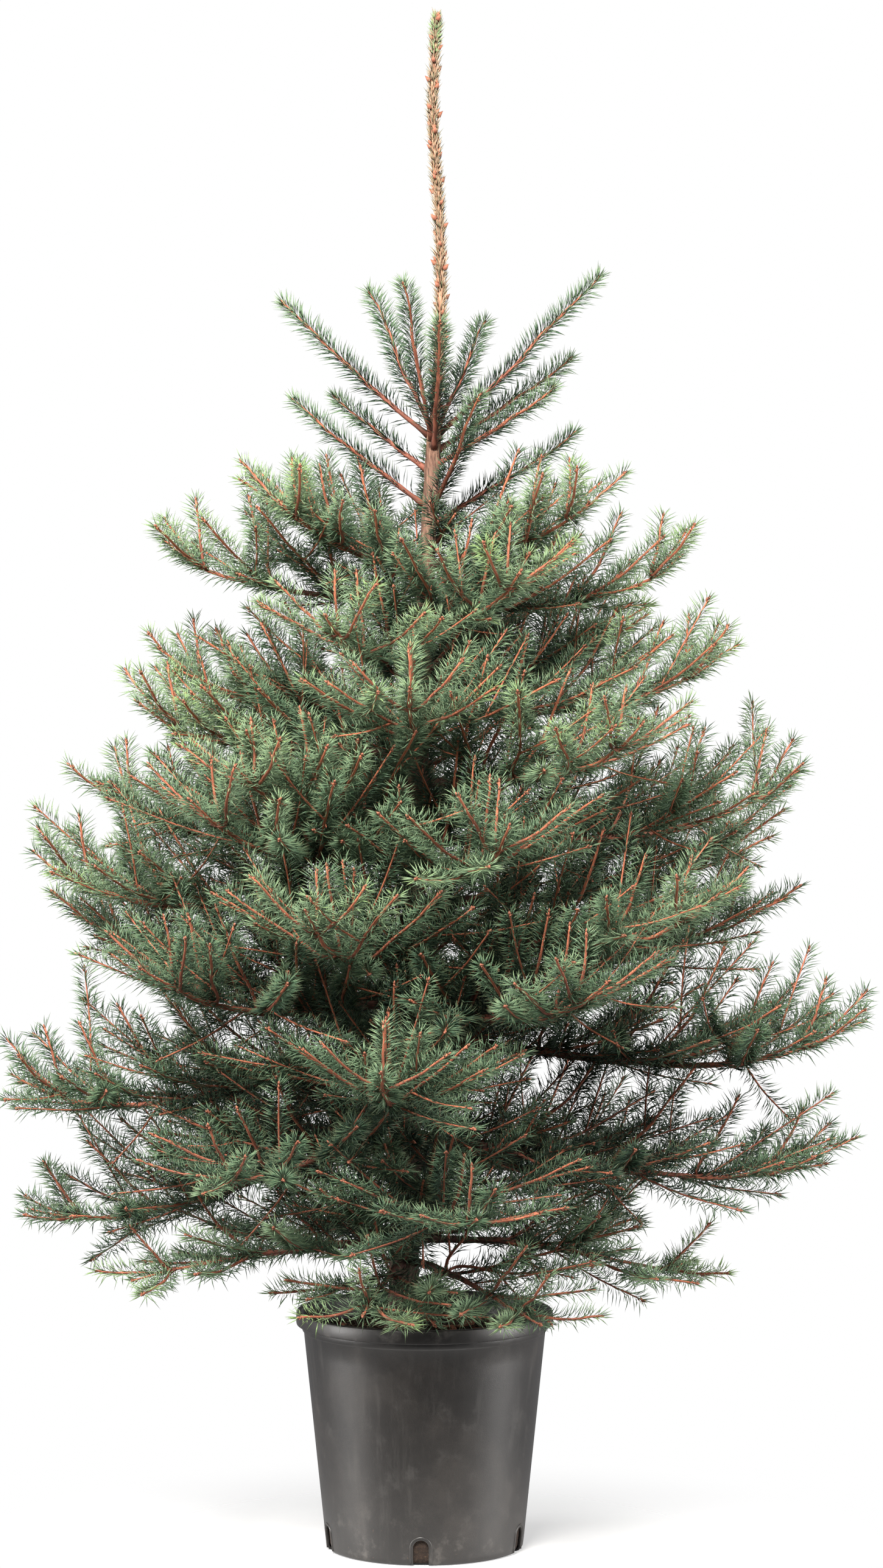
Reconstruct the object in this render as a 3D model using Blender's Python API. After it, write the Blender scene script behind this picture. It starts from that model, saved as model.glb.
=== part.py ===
"""A young spruce growing in a tapered nursery pot, in metres with +Z up.

The origin is the centre of the pot's flat foot. +X is the tree's right as it is looked at from
the front, and -Y is the front. The pot, the soil, the stem and every first-order branch are
separate solids. A branch is one grown piece: its axis and its side shoots are one body.
Heights on the tree are measured up from the soil's surface, and bearings run anticlockwise from +X.
"""
import math
import random

import bmesh
import bpy
import numpy as np
from mathutils import Matrix, Vector, noise

# The pot: one moulding with a turned-over lip and arched drainage slots round its foot
POT_RIM_DIAMETER = 0.300
POT_FOOT_DIAMETER = 0.229
POT_HEIGHT = 0.280
POT_WALL = 0.0022
POT_FLOOR = 0.0028
POT_SIDES = 48
FOOT_ROUND = 0.0040
LIP_OVERHANG = 0.0065
LIP_DEPTH = 0.0160
LIP_WALL = 0.0020
SLOT_COUNT = 5
SLOT_WIDTH = 0.018
SLOT_HEIGHT = 0.031
SLOT_UNDER_FLOOR = 0.010
SLOT_BEARING = -92.0
SLOT_ARCH_SIDES = 16

# The soil: a root ball that fills the pot, with a socket round the foot of the stem
TOUCH_GAP = 0.0003
SOIL_DROP = 0.028
SOIL_RELIEF = 0.0035
SOIL_LUMP = 0.030
SOIL_RINGS = 5

# The stem: its line and its thickness, each against the height above the soil
STEM_SIDES = 10
STEM_DEPTH = 0.070
CROWN_HEIGHT = 1.054
LEADER_LENGTH = 0.472
STEM_FOOT_RADIUS = 0.0175
COLLAR_RADIUS = 0.0215
COLLAR_HEIGHT = 0.045
CROWN_RADIUS = 0.0078
LEADER_RADIUS = 0.0052
LEADER_TIP_RADIUS = 0.0026
LEADER_NECK = 0.020
STEM_RING_STEP = 0.075
STEM_OFFSETS = ((0.0, -0.026, 0.000), (0.30, -0.018, 0.006), (0.62, -0.009, -0.003),
                (0.85, -0.001, 0.004), (1.083, 0.011, 0.000), (1.20, 0.018, 0.001),
                (1.32, 0.018, 0.002), (1.48, 0.010, 0.001), (1.578, 0.014, 0.000))

# The branches. A tier has a name, the radius of its branches at the stem and at the tip, the angle
# at which they leave the stem, the angle at which their tips rise, their collars of side shoots and
# their rows. A row is the height as a share of CROWN_HEIGHT, the bearing, the reach as a share of
# BRANCH_REACH, and the slope from the stem to the tip. Angles are in degrees.
TIERS = (
    ("crown", 0.0032, 0.0017, 38, 44, 0, (
        (0.995, 178, 0.33, 41), (0.998, 4, 0.36, 43), (1.004, 130, 0.22, 53), (0.992, 250, 0.19, 60),
        (0.982, 274, 0.22, 51), (1.003, 60, 0.22, 46), (0.979, 24, 0.33, 31), (0.963, 335, 0.29, 30),
        (0.957, 152, 0.24, 33), (0.919, 190, 0.30, 37), (0.914, 296, 0.24, 46), (0.900, 6, 0.32, 31),
        (0.886, 88, 0.28, 36))),
    ("tier_1", 0.0045, 0.0018, 16, 42, 3, (
        (0.850, 148, 0.38, 20), (0.802, 184, 0.57, 15), (0.842, 220, 0.41, 22), (0.735, 246, 0.50, 16),
        (0.781, 296, 0.47, 17), (0.853, 330, 0.40, 19), (0.788, 8, 0.57, 14), (0.730, 75, 0.52, 16))),
    ("tier_2", 0.0055, 0.0018, 8, 42, 4, (
        (0.681, 164, 0.57, 12), (0.645, 194, 0.63, 11), (0.580, 236, 0.68, 12), (0.660, 268, 0.60, 14),
        (0.612, 312, 0.71, 13), (0.681, 5, 0.66, 12), (0.700, 52, 0.62, 14), (0.600, 112, 0.68, 14))),
    ("tier_3", 0.0065, 0.0018, 2, 40, 4, (
        (0.537, 168, 0.73, 11), (0.483, 192, 0.84, 8), (0.536, 222, 0.76, 12), (0.430, 254, 0.79, 11),
        (0.516, 286, 0.72, 12), (0.446, 320, 0.83, 9), (0.548, 4, 0.84, 10), (0.478, 32, 0.89, 9),
        (0.545, 108, 0.78, 11))),
    ("tier_4", 0.0070, 0.0018, -2, 32, 5, (
        (0.373, 164, 0.78, 12), (0.306, 192, 0.88, -1), (0.374, 228, 0.84, 9), (0.290, 266, 0.80, 7),
        (0.372, 300, 0.82, 8), (0.327, 355, 0.99, 3), (0.400, 26, 0.90, 9), (0.300, 86, 0.85, 7))),
    ("tier_5", 0.0065, 0.0018, -4, 16, 4, (
        (0.209, 185, 0.83, -9), (0.236, 236, 0.78, -2), (0.178, 282, 0.72, 0), (0.216, 351, 0.92, -2),
        (0.190, 48, 0.80, -3), (0.230, 124, 0.79, -5))),
    ("tier_6", 0.0050, 0.0017, 0, -10, 3, (
        (0.103, 204, 0.64, -4), (0.080, 258, 0.42, -7), (0.083, 306, 0.50, -9), (0.105, 15, 0.69, -9),
        (0.092, 110, 0.62, -3))),
)
BRANCH_REACH = 0.530
BRANCH_STEPS = 28
SHOOT_RADIUS = 0.0028
SHOOT_TIP_RADIUS = 0.0015
SHOOT_SHARE = 0.52
SHOOT_LEAST = 0.070
SHOOT_MOST = 0.210
SHOOT_ANGLES = (42, 56)
SHOOT_LIFTS = (-0.10, 0.26)
SHOOT_RISE = 0.16
BEND_SHARE = 0.45
SHOOT_FOLLOWS_TIP = 0.36
TOP_SHOOT_SHARE = 0.75
COLLAR_SHIFT = 0.16
POINT_LENGTH = 3
RING_SPACING = 0.11
TURNS_TRIED = (0, 3, -3, 6, -6, 10, -10)
LIFTS_TRIED = tuple(step * 0.012 for step in range(14))
SHORTER_TRIED = (1, 0.84, 0.68, 0.5, 0.36, 0.26)
SWINGS_TRIED = (0, -0.14, 0.14, -0.28, 0.28, -0.5)
RAISES_TRIED = (0, 0.14, -0.16, 0.3, 0.5)
LIFT_FOR_TURN = 0.002
BLOCKED = 1.0
FIRST_COLLAR = 0.26
LAST_COLLAR = 0.86
SHOOT_CLEARANCE = 0.0040
AXIS_CLEARANCE = 0.0012
SAMPLE_STEP = 0.008
SEED = 11

SOIL_TOP = POT_HEIGHT - SOIL_DROP
UP = Vector((0, 0, 1))
CUTTER_COLOUR = (0.8, 0.2, 0.2)


# --- Small helpers -------------------------------------------------------------------------------

def material(name, colour, roughness):
    """A Principled material with a plain colour."""
    made = bpy.data.materials.new(name)
    made.use_nodes = True
    shader = made.node_tree.nodes["Principled BSDF"]
    shader.inputs["Base Color"].default_value = (*colour, 1)
    shader.inputs["Roughness"].default_value = roughness
    shader.inputs["Metallic"].default_value = 0
    made.diffuse_color = (*colour, 1)
    return made


def add_object(name, bm, finish, smooth=True):
    """Turn a bmesh into a scene object with one material."""
    bmesh.ops.recalc_face_normals(bm, faces=bm.faces)
    mesh = bpy.data.meshes.new(name)
    bm.to_mesh(mesh)
    bm.free()
    if smooth:
        mesh.shade_smooth()
        mesh.set_sharp_from_angle(angle=math.radians(40))
    mesh.materials.append(finish)
    made = bpy.data.objects.new(name, mesh)
    bpy.context.collection.objects.link(made)
    return made


def set_ring(face, centre, direction, radius):
    """Carry a face to a centre, square to a direction, with its corners at a radius."""
    middle = face.calc_center_median()
    turn = face.normal.rotation_difference(direction)
    for vert in face.verts:
        spoke = turn @ (vert.co - middle)
        spoke -= spoke.project(direction)
        vert.co = centre + spoke.normalized() * radius
    face.normal_update()


def extend(bm, face, centre, direction, radius):
    """Extrude one face to a new ring, and give back the face at its far end."""
    far = bmesh.ops.extrude_discrete_faces(bm, faces=[face])["faces"][0]
    far.normal_update()
    set_ring(far, centre, direction, radius)
    return far


def first_length(sides, foot, head, frame):
    """A closed prism along a frame's own Z, as its mesh and the face at its far end.

    foot and head are each a centre, a direction and a radius.
    """
    bm = bmesh.new()
    bmesh.ops.create_cone(bm, cap_ends=True, segments=sides, radius1=1, radius2=1, depth=1, matrix=frame)
    along = frame.to_3x3() @ UP
    caps = sorted((face for face in bm.faces if abs(face.normal.dot(along)) > 0.9),
                  key=lambda face: face.calc_center_median().dot(along))
    centre, direction, radius = foot
    set_ring(caps[0], centre, -direction, radius)
    set_ring(caps[1], *head)
    return bm, caps[1]


def turned(sides, profile, centre=lambda height: (0, 0)):
    """A solid turned round +Z from a profile of (radius, height), closed by a flat face at each end."""
    rings = [(Vector((*centre(height), height)), UP, radius) for radius, height in profile]
    bm, face = first_length(sides, rings[0], rings[1], Matrix())
    for ring in rings[2:]:
        face = extend(bm, face, *ring)
    return bm, face


def subtract(target, cutter):
    """Cut one object from another, and hide the cutter."""
    cut = target.modifiers.new("cut", "BOOLEAN")
    cut.operation = "DIFFERENCE"
    cut.solver = "EXACT"
    cut.object = cutter
    cutter.hide_render = True
    cutter.display_type = "WIRE"


# --- Pot -----------------------------------------------------------------------------------------

def wall_radius(height):
    """The pot's outer wall radius at a height: a straight taper from the foot to under the lip."""
    top = POT_RIM_DIAMETER / 2 - LIP_OVERHANG
    return POT_FOOT_DIAMETER / 2 + (top - POT_FOOT_DIAMETER / 2) * height / POT_HEIGHT


def make_pot():
    """The moulding, from under its foot round the outside, over the lip and down the inside."""
    rim = POT_RIM_DIAMETER / 2
    lip_foot = POT_HEIGHT - LIP_DEPTH
    crest = POT_HEIGHT - LIP_WALL
    soften = LIP_WALL * 0.6
    profile = [
        (POT_FOOT_DIAMETER / 2 - FOOT_ROUND, 0),
        (wall_radius(0) - FOOT_ROUND * 0.3, FOOT_ROUND * 0.3),
        (wall_radius(FOOT_ROUND), FOOT_ROUND),
        (wall_radius(lip_foot), lip_foot),
        (wall_radius(crest), crest),
        (rim - LIP_WALL, crest),
        (rim - LIP_WALL, lip_foot),
        (rim, lip_foot),
        (rim, POT_HEIGHT - soften),
        (rim - soften, POT_HEIGHT),
        (wall_radius(POT_HEIGHT) - POT_WALL, POT_HEIGHT),
        (wall_radius(POT_FLOOR) - POT_WALL, POT_FLOOR),
    ]
    bm, _ = turned(POT_SIDES, profile)
    pot = add_object("pot", bm, material("pot_plastic", (0.050, 0.046, 0.042), 0.45))
    subtract(pot, make_slot_cutter())


def make_slot_cutter():
    """Arched drainage slots: each is cut through the wall and runs a little way in under the floor."""
    inner = POT_FOOT_DIAMETER / 2 - SLOT_UNDER_FLOOR
    outer = wall_radius(SLOT_HEIGHT) + SLOT_WIDTH
    half = SLOT_WIDTH / 2
    straight = SLOT_HEIGHT - half
    bm = bmesh.new()
    for slot in range(SLOT_COUNT):
        turn = Matrix.Rotation(math.radians(SLOT_BEARING + 360 * slot / SLOT_COUNT), 4, "Z")
        corners = [bm.verts.new(turn @ Vector((inner, side * half, -half))) for side in (-1, 1)]
        arch = []
        for step in range(SLOT_ARCH_SIDES // 2 + 1):
            angle = math.pi * step / (SLOT_ARCH_SIDES // 2)
            corner = Vector((inner, half * math.cos(angle), straight + half * math.sin(angle)))
            arch.append(bm.verts.new(turn @ corner))
        face = bm.faces.new(corners + arch)
        face.normal_update()
        block = bmesh.ops.extrude_face_region(bm, geom=[face])["geom"]
        moved = [item for item in block if isinstance(item, bmesh.types.BMVert)]
        bmesh.ops.translate(bm, verts=moved, vec=turn @ Vector((outer - inner, 0, 0)))
    return add_object("slot_cutter", bm, material("cutter", CUTTER_COLOUR, 0.5), smooth=False)


# --- Stem ----------------------------------------------------------------------------------------

def stem_centre(height):
    """Where the stem's line is, at a height above the soil; below the soil it goes straight down."""
    bends, across, deep = stem_bends()
    return Vector((np.interp(height, bends, across), np.interp(height, bends, deep)))


def stem_bends():
    """The heights at which the stem's line bends, with its offsets there."""
    heights, across, deep = zip(*STEM_OFFSETS)
    scale = (CROWN_HEIGHT + LEADER_LENGTH) / heights[-1]
    return [height * scale for height in heights], across, deep


def stem_radius(height):
    """The stem's radius at a height above the soil, from the root collar to the leader's tip."""
    heights = (-STEM_DEPTH, 0, COLLAR_HEIGHT, CROWN_HEIGHT, CROWN_HEIGHT + LEADER_NECK,
               CROWN_HEIGHT + LEADER_LENGTH)
    radii = (COLLAR_RADIUS * 0.7, COLLAR_RADIUS, STEM_FOOT_RADIUS, CROWN_RADIUS, LEADER_RADIUS,
             LEADER_TIP_RADIUS)
    return float(np.interp(height, heights, radii))


def stem_heights():
    """The heights of the stem's rings: one at each bend and change of taper, and even steps between."""
    top = CROWN_HEIGHT + LEADER_LENGTH
    bends, _, _ = stem_bends()
    fixed = {COLLAR_HEIGHT, CROWN_HEIGHT, CROWN_HEIGHT + LEADER_NECK, top} | set(bends[1:-1])
    steps = round((top - COLLAR_HEIGHT) / STEM_RING_STEP)
    even = {COLLAR_HEIGHT + (top - COLLAR_HEIGHT) * step / steps for step in range(1, steps)}
    kept = {height for height in even if min(abs(height - other) for other in fixed) > LEADER_NECK * 1.5}
    return sorted(kept | fixed | {-STEM_DEPTH, -STEM_DEPTH * 0.5, 0})


def stem_solid(heights, swell):
    """The stem's solid between some of its rings, thicker by swell all round."""
    profile = [(stem_radius(height) + swell, SOIL_TOP + height) for height in heights]
    return turned(STEM_SIDES, profile, centre=lambda z: stem_centre(z - SOIL_TOP))


def make_trunk():
    """The stem from its root collar under the soil to the bud at the end of the leader."""
    bm, face = stem_solid(stem_heights(), 0)
    bmesh.ops.poke(bm, faces=[face], offset=LEADER_TIP_RADIUS * POINT_LENGTH)
    add_object("trunk", bm, material("bark", (0.20, 0.105, 0.065), 0.85))


# --- Soil ----------------------------------------------------------------------------------------

def soil_height(across, deep):
    """The soil's surface: gently mounded at the stem, with lumps that fade out at the wall."""
    edge = wall_radius(SOIL_TOP) - POT_WALL
    share = min(1, math.hypot(across, deep) / edge)
    lump = noise.noise(Vector((across, deep, 0.4)) / SOIL_LUMP) + 0.5 * (1 - share)
    return SOIL_TOP + SOIL_RELIEF * lump * (1 - share ** 4)


def make_soil():
    """The root ball, clear of the pot's wall and floor by the touching gap, with its stem socket cut."""
    foot = POT_FLOOR + TOUCH_GAP
    shrink = TOUCH_GAP / math.cos(math.pi / POT_SIDES)
    inside = lambda height: wall_radius(height) - POT_WALL - shrink
    edge = inside(SOIL_TOP)
    profile = [(inside(foot), foot), (edge, SOIL_TOP)]
    profile += [(edge * (1 - ring / (SOIL_RINGS + 1)), SOIL_TOP) for ring in range(1, SOIL_RINGS + 1)]
    bm, face = turned(POT_SIDES, profile)
    bmesh.ops.poke(bm, faces=[face])
    for vert in bm.verts:
        if vert.co.z > SOIL_TOP - TOUCH_GAP and vert.co.xy.length < edge * 0.99:
            vert.co.z = soil_height(vert.co.x, vert.co.y)
    soil = add_object("soil", bm, material("compost", (0.060, 0.038, 0.026), 0.95))
    swell = TOUCH_GAP / math.cos(math.pi / STEM_SIDES)
    heights = [-STEM_DEPTH - TOUCH_GAP, -STEM_DEPTH * 0.5, 0, COLLAR_HEIGHT]
    bm, _ = stem_solid(heights, swell)
    socket = add_object("stem_socket_cutter", bm, material("cutter", CUTTER_COLOUR, 0.5), smooth=False)
    subtract(soil, socket)


# --- Where wood already grows --------------------------------------------------------------------

class Wood:
    """The shoots placed so far, as straight pieces with radii, and the test that a new one clears them."""

    def __init__(self):
        self.starts = np.zeros((0, 3))
        self.ends = np.zeros((0, 3))
        self.radii = np.zeros(0)
        self.owners = np.zeros(0, dtype=int)

    def add(self, points, radii, owner=-1):
        """Remember one shoot's line, and whose axis it is."""
        points = np.array([tuple(point) for point in points])
        self.starts = np.vstack((self.starts, points[:-1]))
        self.ends = np.vstack((self.ends, points[1:]))
        self.radii = np.concatenate((self.radii, np.maximum(radii[:-1], radii[1:])))
        self.owners = np.concatenate((self.owners, np.full(len(points) - 1, owner)))

    def room(self, points, radius, own=-2):
        """The least free distance between a line with a radius and all other wood here."""
        others = self.owners != own
        if not others.any():
            return 1.0
        run = (self.ends - self.starts)[others]
        reach = sampled(points)[:, None, :] - self.starts[others][None, :, :]
        share = np.clip((reach * run).sum(axis=2) / (run * run).sum(axis=1), 0, 1)
        gaps = np.linalg.norm(reach - share[:, :, None] * run, axis=2) - self.radii[others] - radius
        return float(gaps.min())


def sampled(points):
    """A line's points, resampled evenly and closely enough to find what crosses it."""
    points = np.array([tuple(point) for point in points])
    lengths = np.concatenate(([0], np.cumsum(np.linalg.norm(np.diff(points, axis=0), axis=1))))
    count = max(2, math.ceil(lengths[-1] / SAMPLE_STEP) + 1)
    steps = np.linspace(0, lengths[-1], count)
    return np.column_stack([np.interp(steps, lengths, points[:, axis]) for axis in range(3)])


def clears_pot(points, radius, clearance):
    """Whether a line stays above the rim's level for as long as it is over the pot or beside its lip."""
    samples = sampled(points)
    over = np.hypot(samples[:, 0], samples[:, 1]) < POT_RIM_DIAMETER / 2 + radius + clearance
    return bool((samples[over, 2] > POT_HEIGHT + radius + clearance).all())


# --- Branches ------------------------------------------------------------------------------------

def outward(bearing):
    """The level direction of a bearing in degrees."""
    return Vector((math.cos(math.radians(bearing)), math.sin(math.radians(bearing)), 0))


def branch_foot(height, bearing, radius):
    """The centre of a branch's foot, which stands the touching gap off the stem's bark."""
    out = outward(bearing).xy
    centre = stem_centre(height)
    stand = max((stem_centre(level) - centre).dot(out) + stem_radius(level)
                for level in (height - radius, height, height + radius))
    return Vector((*(centre + out * (stand + TOUCH_GAP)), SOIL_TOP + height))


def branch_line(row, leave, rise, radius, bearing, lift):
    """A smooth line from the stem to the tip, leaving at one angle and ending at another."""
    height, _, reach, slope = row[0] * CROWN_HEIGHT, row[1], row[2] * BRANCH_REACH, row[3]
    out = outward(bearing)
    foot = branch_foot(height, bearing, radius)
    climb = reach * math.tan(math.radians(slope)) + lift
    tip = Vector((*(stem_centre(height) + out.xy * reach), SOIL_TOP + height + climb))
    pull = (tip - foot).length * 0.36
    leaving = (out * math.cos(math.radians(leave)) + UP * math.sin(math.radians(leave))) * pull
    ending = (out * math.cos(math.radians(rise)) + UP * math.sin(math.radians(rise))) * pull
    line = []
    for step in range(BRANCH_STEPS + 1):
        t = step / BRANCH_STEPS
        line.append(foot * (1 - t) ** 3 + (foot + leaving) * 3 * t * (1 - t) ** 2
                    + (tip - ending) * 3 * t ** 2 * (1 - t) + tip * t ** 3)
    return line


def clear_branch_line(row, leave, rise, radius, wood):
    """The line nearest the row's own bearing and tip height that clears the pot and the other wood."""
    tries = [(turn, lift) for lift in LIFTS_TRIED for turn in TURNS_TRIED]
    tries.sort(key=lambda way: abs(way[0]) * LIFT_FOR_TURN + way[1])
    best = None
    for turn, lift in tries:
        line = branch_line(row, leave, rise, radius, row[1] + turn, lift)
        room = wood.room(line, radius)
        if not clears_pot(line, radius, SHOOT_CLEARANCE):
            room -= BLOCKED
        if best is None or room > best[0]:
            best = (room, line, row[1] + turn)
        if room > AXIS_CLEARANCE:
            break
    return best[1:]


def point_at(line, share):
    """The point and the direction of a line at a share of its length."""
    points = np.array([tuple(point) for point in line])
    lengths = np.concatenate(([0], np.cumsum(np.linalg.norm(np.diff(points, axis=0), axis=1))))
    place = share * lengths[-1]
    near = [Vector([float(np.interp(place + shift, lengths, points[:, axis])) for axis in range(3)])
            for shift in (-0.004, 0, 0.004)]
    return near[1], (near[2] - near[0]).normalized()


def line_length(line):
    """The length of a line through its points."""
    return sum((after - before).length for before, after in zip(line, line[1:]))


def shoot_line(start, along, side, angle, lift, length):
    """A side shoot's three points: it leaves at an angle to the branch and bends upwards."""
    leaving = (along * math.cos(angle) + side * math.sin(angle) + UP * lift).normalized()
    ending = (leaving + UP * SHOOT_RISE).normalized()
    bend = start + leaving * length * BEND_SHARE
    return [start, bend, bend + ending * length * (1 - BEND_SHARE)]


def clear_shoot_line(start, along, side, rise, length, own, wood, dice):
    """The first line of a shoot, near its natural angle and length, that clears all other wood."""
    angle = math.radians(dice.uniform(*SHOOT_ANGLES))
    lift = dice.uniform(*SHOOT_LIFTS) + SHOOT_FOLLOWS_TIP * math.sin(math.radians(rise))
    tries = [(shorter, turn, raised) for shorter in SHORTER_TRIED for turn in SWINGS_TRIED
             for raised in RAISES_TRIED]
    best = None
    for shorter, turn, raised in tries:
        line = shoot_line(start, along, side, angle + turn, lift + raised, length * shorter)
        free = [line[0] + (line[1] - line[0]).normalized() * SHOOT_RADIUS * 4, line[1], line[2]]
        room = wood.room(free, SHOOT_RADIUS, own)
        if not clears_pot(line, SHOOT_RADIUS, SHOOT_CLEARANCE):
            room -= BLOCKED
        if best is None or room > best[0]:
            best = (room, line)
        if room > SHOOT_CLEARANCE:
            return line
    return best[1]


def plan_collars(line, count, rise, own, wood, dice):
    """Where a branch's side shoots sit: for each collar its share of the length and its shoots' lines."""
    length = line_length(line)
    collars = []
    for collar in range(count):
        place = (collar + dice.uniform(-COLLAR_SHIFT, COLLAR_SHIFT)) / (count - 1)
        share = FIRST_COLLAR + (LAST_COLLAR - FIRST_COLLAR) * min(max(place, 0), 1)
        centre, along = point_at(line, share)
        level = along.cross(UP).normalized()
        top = level.cross(along).normalized()
        shoots = []
        for side in (level, -level, top):
            natural = length * (1 - share) * SHOOT_SHARE * dice.uniform(0.85, 1.2) + SHOOT_LEAST
            if side is top:
                natural *= TOP_SHOOT_SHARE
            start = centre + side * SHOOT_RADIUS
            natural = min(natural, SHOOT_MOST)
            shoot = clear_shoot_line(start, along, side, rise, natural, own, wood, dice)
            wood.add(shoot, np.full(len(shoot), SHOOT_RADIUS))
            shoots.append((side, shoot))
        collars.append((share, shoots))
    return collars


def grow_shoot(bm, face, shoot):
    """Extrude a side shoot out of a face of its branch, and point its end."""
    start, bend, end = shoot
    middle = (bend - start).normalized() + (end - bend).normalized()
    face = extend(bm, face, bend, middle.normalized(), (SHOOT_RADIUS + SHOOT_TIP_RADIUS) / 2)
    final = (end - bend).normalized()
    point = SHOOT_TIP_RADIUS * POINT_LENGTH
    face = extend(bm, face, end - final * point, final, SHOOT_TIP_RADIUS)
    bmesh.ops.poke(bm, faces=[face], offset=point)


def make_branch(name, line, bearing, radii, collars, finish):
    """One branch as one body: a square-section axis with a short collar where each set of shoots leaves."""
    length = line_length(line)
    taper = lambda share: radii[0] + (radii[1] - radii[0]) * share
    half_collar = SHOOT_RADIUS / length
    point = radii[1] * POINT_LENGTH
    rings = []
    for share, shoots in collars:
        rings += [(share - half_collar, False), (share + half_collar, shoots)]
    gaps = [0] + [share for share, _ in rings] + [1 - point / length]
    for before, after in zip(gaps, gaps[1:]):
        spare = int((after - before) * length / RING_SPACING)
        rings += [(before + (after - before) * (cut + 1) / (spare + 1), False) for cut in range(spare)]
    rings.append((gaps[-1], False))
    rings.sort(key=lambda ring: ring[0])

    out = outward(bearing)
    upright = Matrix((out.cross(-UP), UP, out)).transposed().to_4x4()
    diamond = upright @ Matrix.Rotation(math.radians(45), 4, "Z")
    first, along = point_at(line, rings[0][0])
    bm, face = first_length(4, (line[0], out, radii[0]), (first, along, taper(rings[0][0])), diamond)
    buds = []
    for share, shoots in rings[1:]:
        centre, along = point_at(line, share)
        face = extend(bm, face, centre, along, taper(share))
        walls = [other for edge in face.edges for other in edge.link_faces if other is not face]
        for side, shoot in shoots or ():
            for wall in walls:
                wall.normal_update()
            buds.append((max(walls, key=lambda wall: wall.normal.dot(side)), shoot))
    bmesh.ops.poke(bm, faces=[face], offset=point)
    for wall, shoot in buds:
        grow_shoot(bm, wall, shoot)
    add_object(name, bm, finish)


def make_branches():
    """Every branch: all axes are placed first, then the side shoots find room between them."""
    dice = random.Random(SEED)
    wood = Wood()
    planned = []
    for tier, foot_radius, tip_radius, leave, rise, collars, rows in TIERS:
        for number, row in enumerate(rows, start=1):
            line, bearing = clear_branch_line(row, leave, rise, foot_radius, wood)
            wood.add(line, np.linspace(foot_radius, tip_radius, len(line)), owner=len(planned))
            name = f"branch_{tier}_{number:02d}"
            planned.append((name, line, bearing, (foot_radius, tip_radius), rise, collars))
    heights = stem_heights()
    wood.add([(*stem_centre(height), SOIL_TOP + height) for height in heights],
             np.array([stem_radius(height) for height in heights]))
    finish = material("twig", (0.16, 0.20, 0.12), 0.8)
    for own, (name, line, bearing, radii, rise, count) in enumerate(planned):
        collars = plan_collars(line, count, rise, own, wood, dice) if count else []
        make_branch(name, line, bearing, radii, collars, finish)


def main():
    """Clear the scene and build the whole plant."""
    for old in list(bpy.data.objects):
        bpy.data.objects.remove(old)
    make_pot()
    make_soil()
    make_trunk()
    make_branches()


main()
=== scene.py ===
# %% [markdown]
# # A young spruce in its nursery pot
# A field-grown spruce, about as tall as a grown person, stands in a black plastic nursery pot.
# The solid parts in the frame already give every branch, the stem, the soil and the pot their place.
# This lesson dresses them: bark, twigs, buds, needles, soil and worn plastic, then soft daylight
# and a pale floor.

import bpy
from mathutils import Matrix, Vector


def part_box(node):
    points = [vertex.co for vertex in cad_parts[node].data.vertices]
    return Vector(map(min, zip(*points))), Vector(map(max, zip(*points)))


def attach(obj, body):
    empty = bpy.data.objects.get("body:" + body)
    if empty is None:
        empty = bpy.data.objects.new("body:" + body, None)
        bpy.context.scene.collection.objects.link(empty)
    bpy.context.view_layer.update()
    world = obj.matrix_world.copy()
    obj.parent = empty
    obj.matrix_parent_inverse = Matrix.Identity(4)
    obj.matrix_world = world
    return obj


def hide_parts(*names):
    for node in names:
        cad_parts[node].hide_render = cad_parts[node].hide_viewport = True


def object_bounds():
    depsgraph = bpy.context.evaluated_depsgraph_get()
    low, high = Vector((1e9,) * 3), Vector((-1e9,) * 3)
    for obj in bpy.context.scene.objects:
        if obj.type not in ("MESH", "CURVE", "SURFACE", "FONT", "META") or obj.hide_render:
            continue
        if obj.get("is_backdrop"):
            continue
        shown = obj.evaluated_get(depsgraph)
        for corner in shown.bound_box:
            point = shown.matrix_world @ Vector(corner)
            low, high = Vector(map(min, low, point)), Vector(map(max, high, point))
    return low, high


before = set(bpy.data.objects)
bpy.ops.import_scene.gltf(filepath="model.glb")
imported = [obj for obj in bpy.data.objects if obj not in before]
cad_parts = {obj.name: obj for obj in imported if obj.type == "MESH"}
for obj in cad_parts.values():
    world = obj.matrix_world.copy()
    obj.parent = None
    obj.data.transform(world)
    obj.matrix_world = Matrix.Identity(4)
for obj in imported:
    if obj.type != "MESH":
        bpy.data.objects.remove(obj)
first_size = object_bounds()
print("the solid parts reach from", tuple(first_size[0]), "to", tuple(first_size[1]))

# %% Tools for the whole lesson
import math

import bmesh
import bpy
import numpy as np
from mathutils import Matrix, Vector, noise

UP = np.array((0.0, 0.0, 1.0))
MM = 0.001
dice = np.random.default_rng(29)

# %% [markdown]
# ## Shader maths as sums
# A finish is a sum: so much dust over so much plastic. Blender writes sums as Math nodes, which are
# slow to read. One small class wraps a node's socket, so that `dust * 0.7` adds the Math node
# by itself. A second class holds the nodes of a material or of the room, and has one method that makes
# any other node. A third one is a Principled material.

# %% A value in a material
class Value:
    """One socket's value. Sums with it add Math nodes."""

    def __init__(self, nodes, socket):
        self.nodes, self.socket = nodes, socket

    def maths(self, operation, *values):
        return self.nodes.node("ShaderNodeMath", {"operation": operation}, values)

    def __add__(self, other):
        return self.maths("ADD", self, other)

    def __sub__(self, other):
        return self.maths("SUBTRACT", self, other)

    def __mul__(self, other):
        return self.maths("MULTIPLY", self, other)

    __radd__ = __add__


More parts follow.
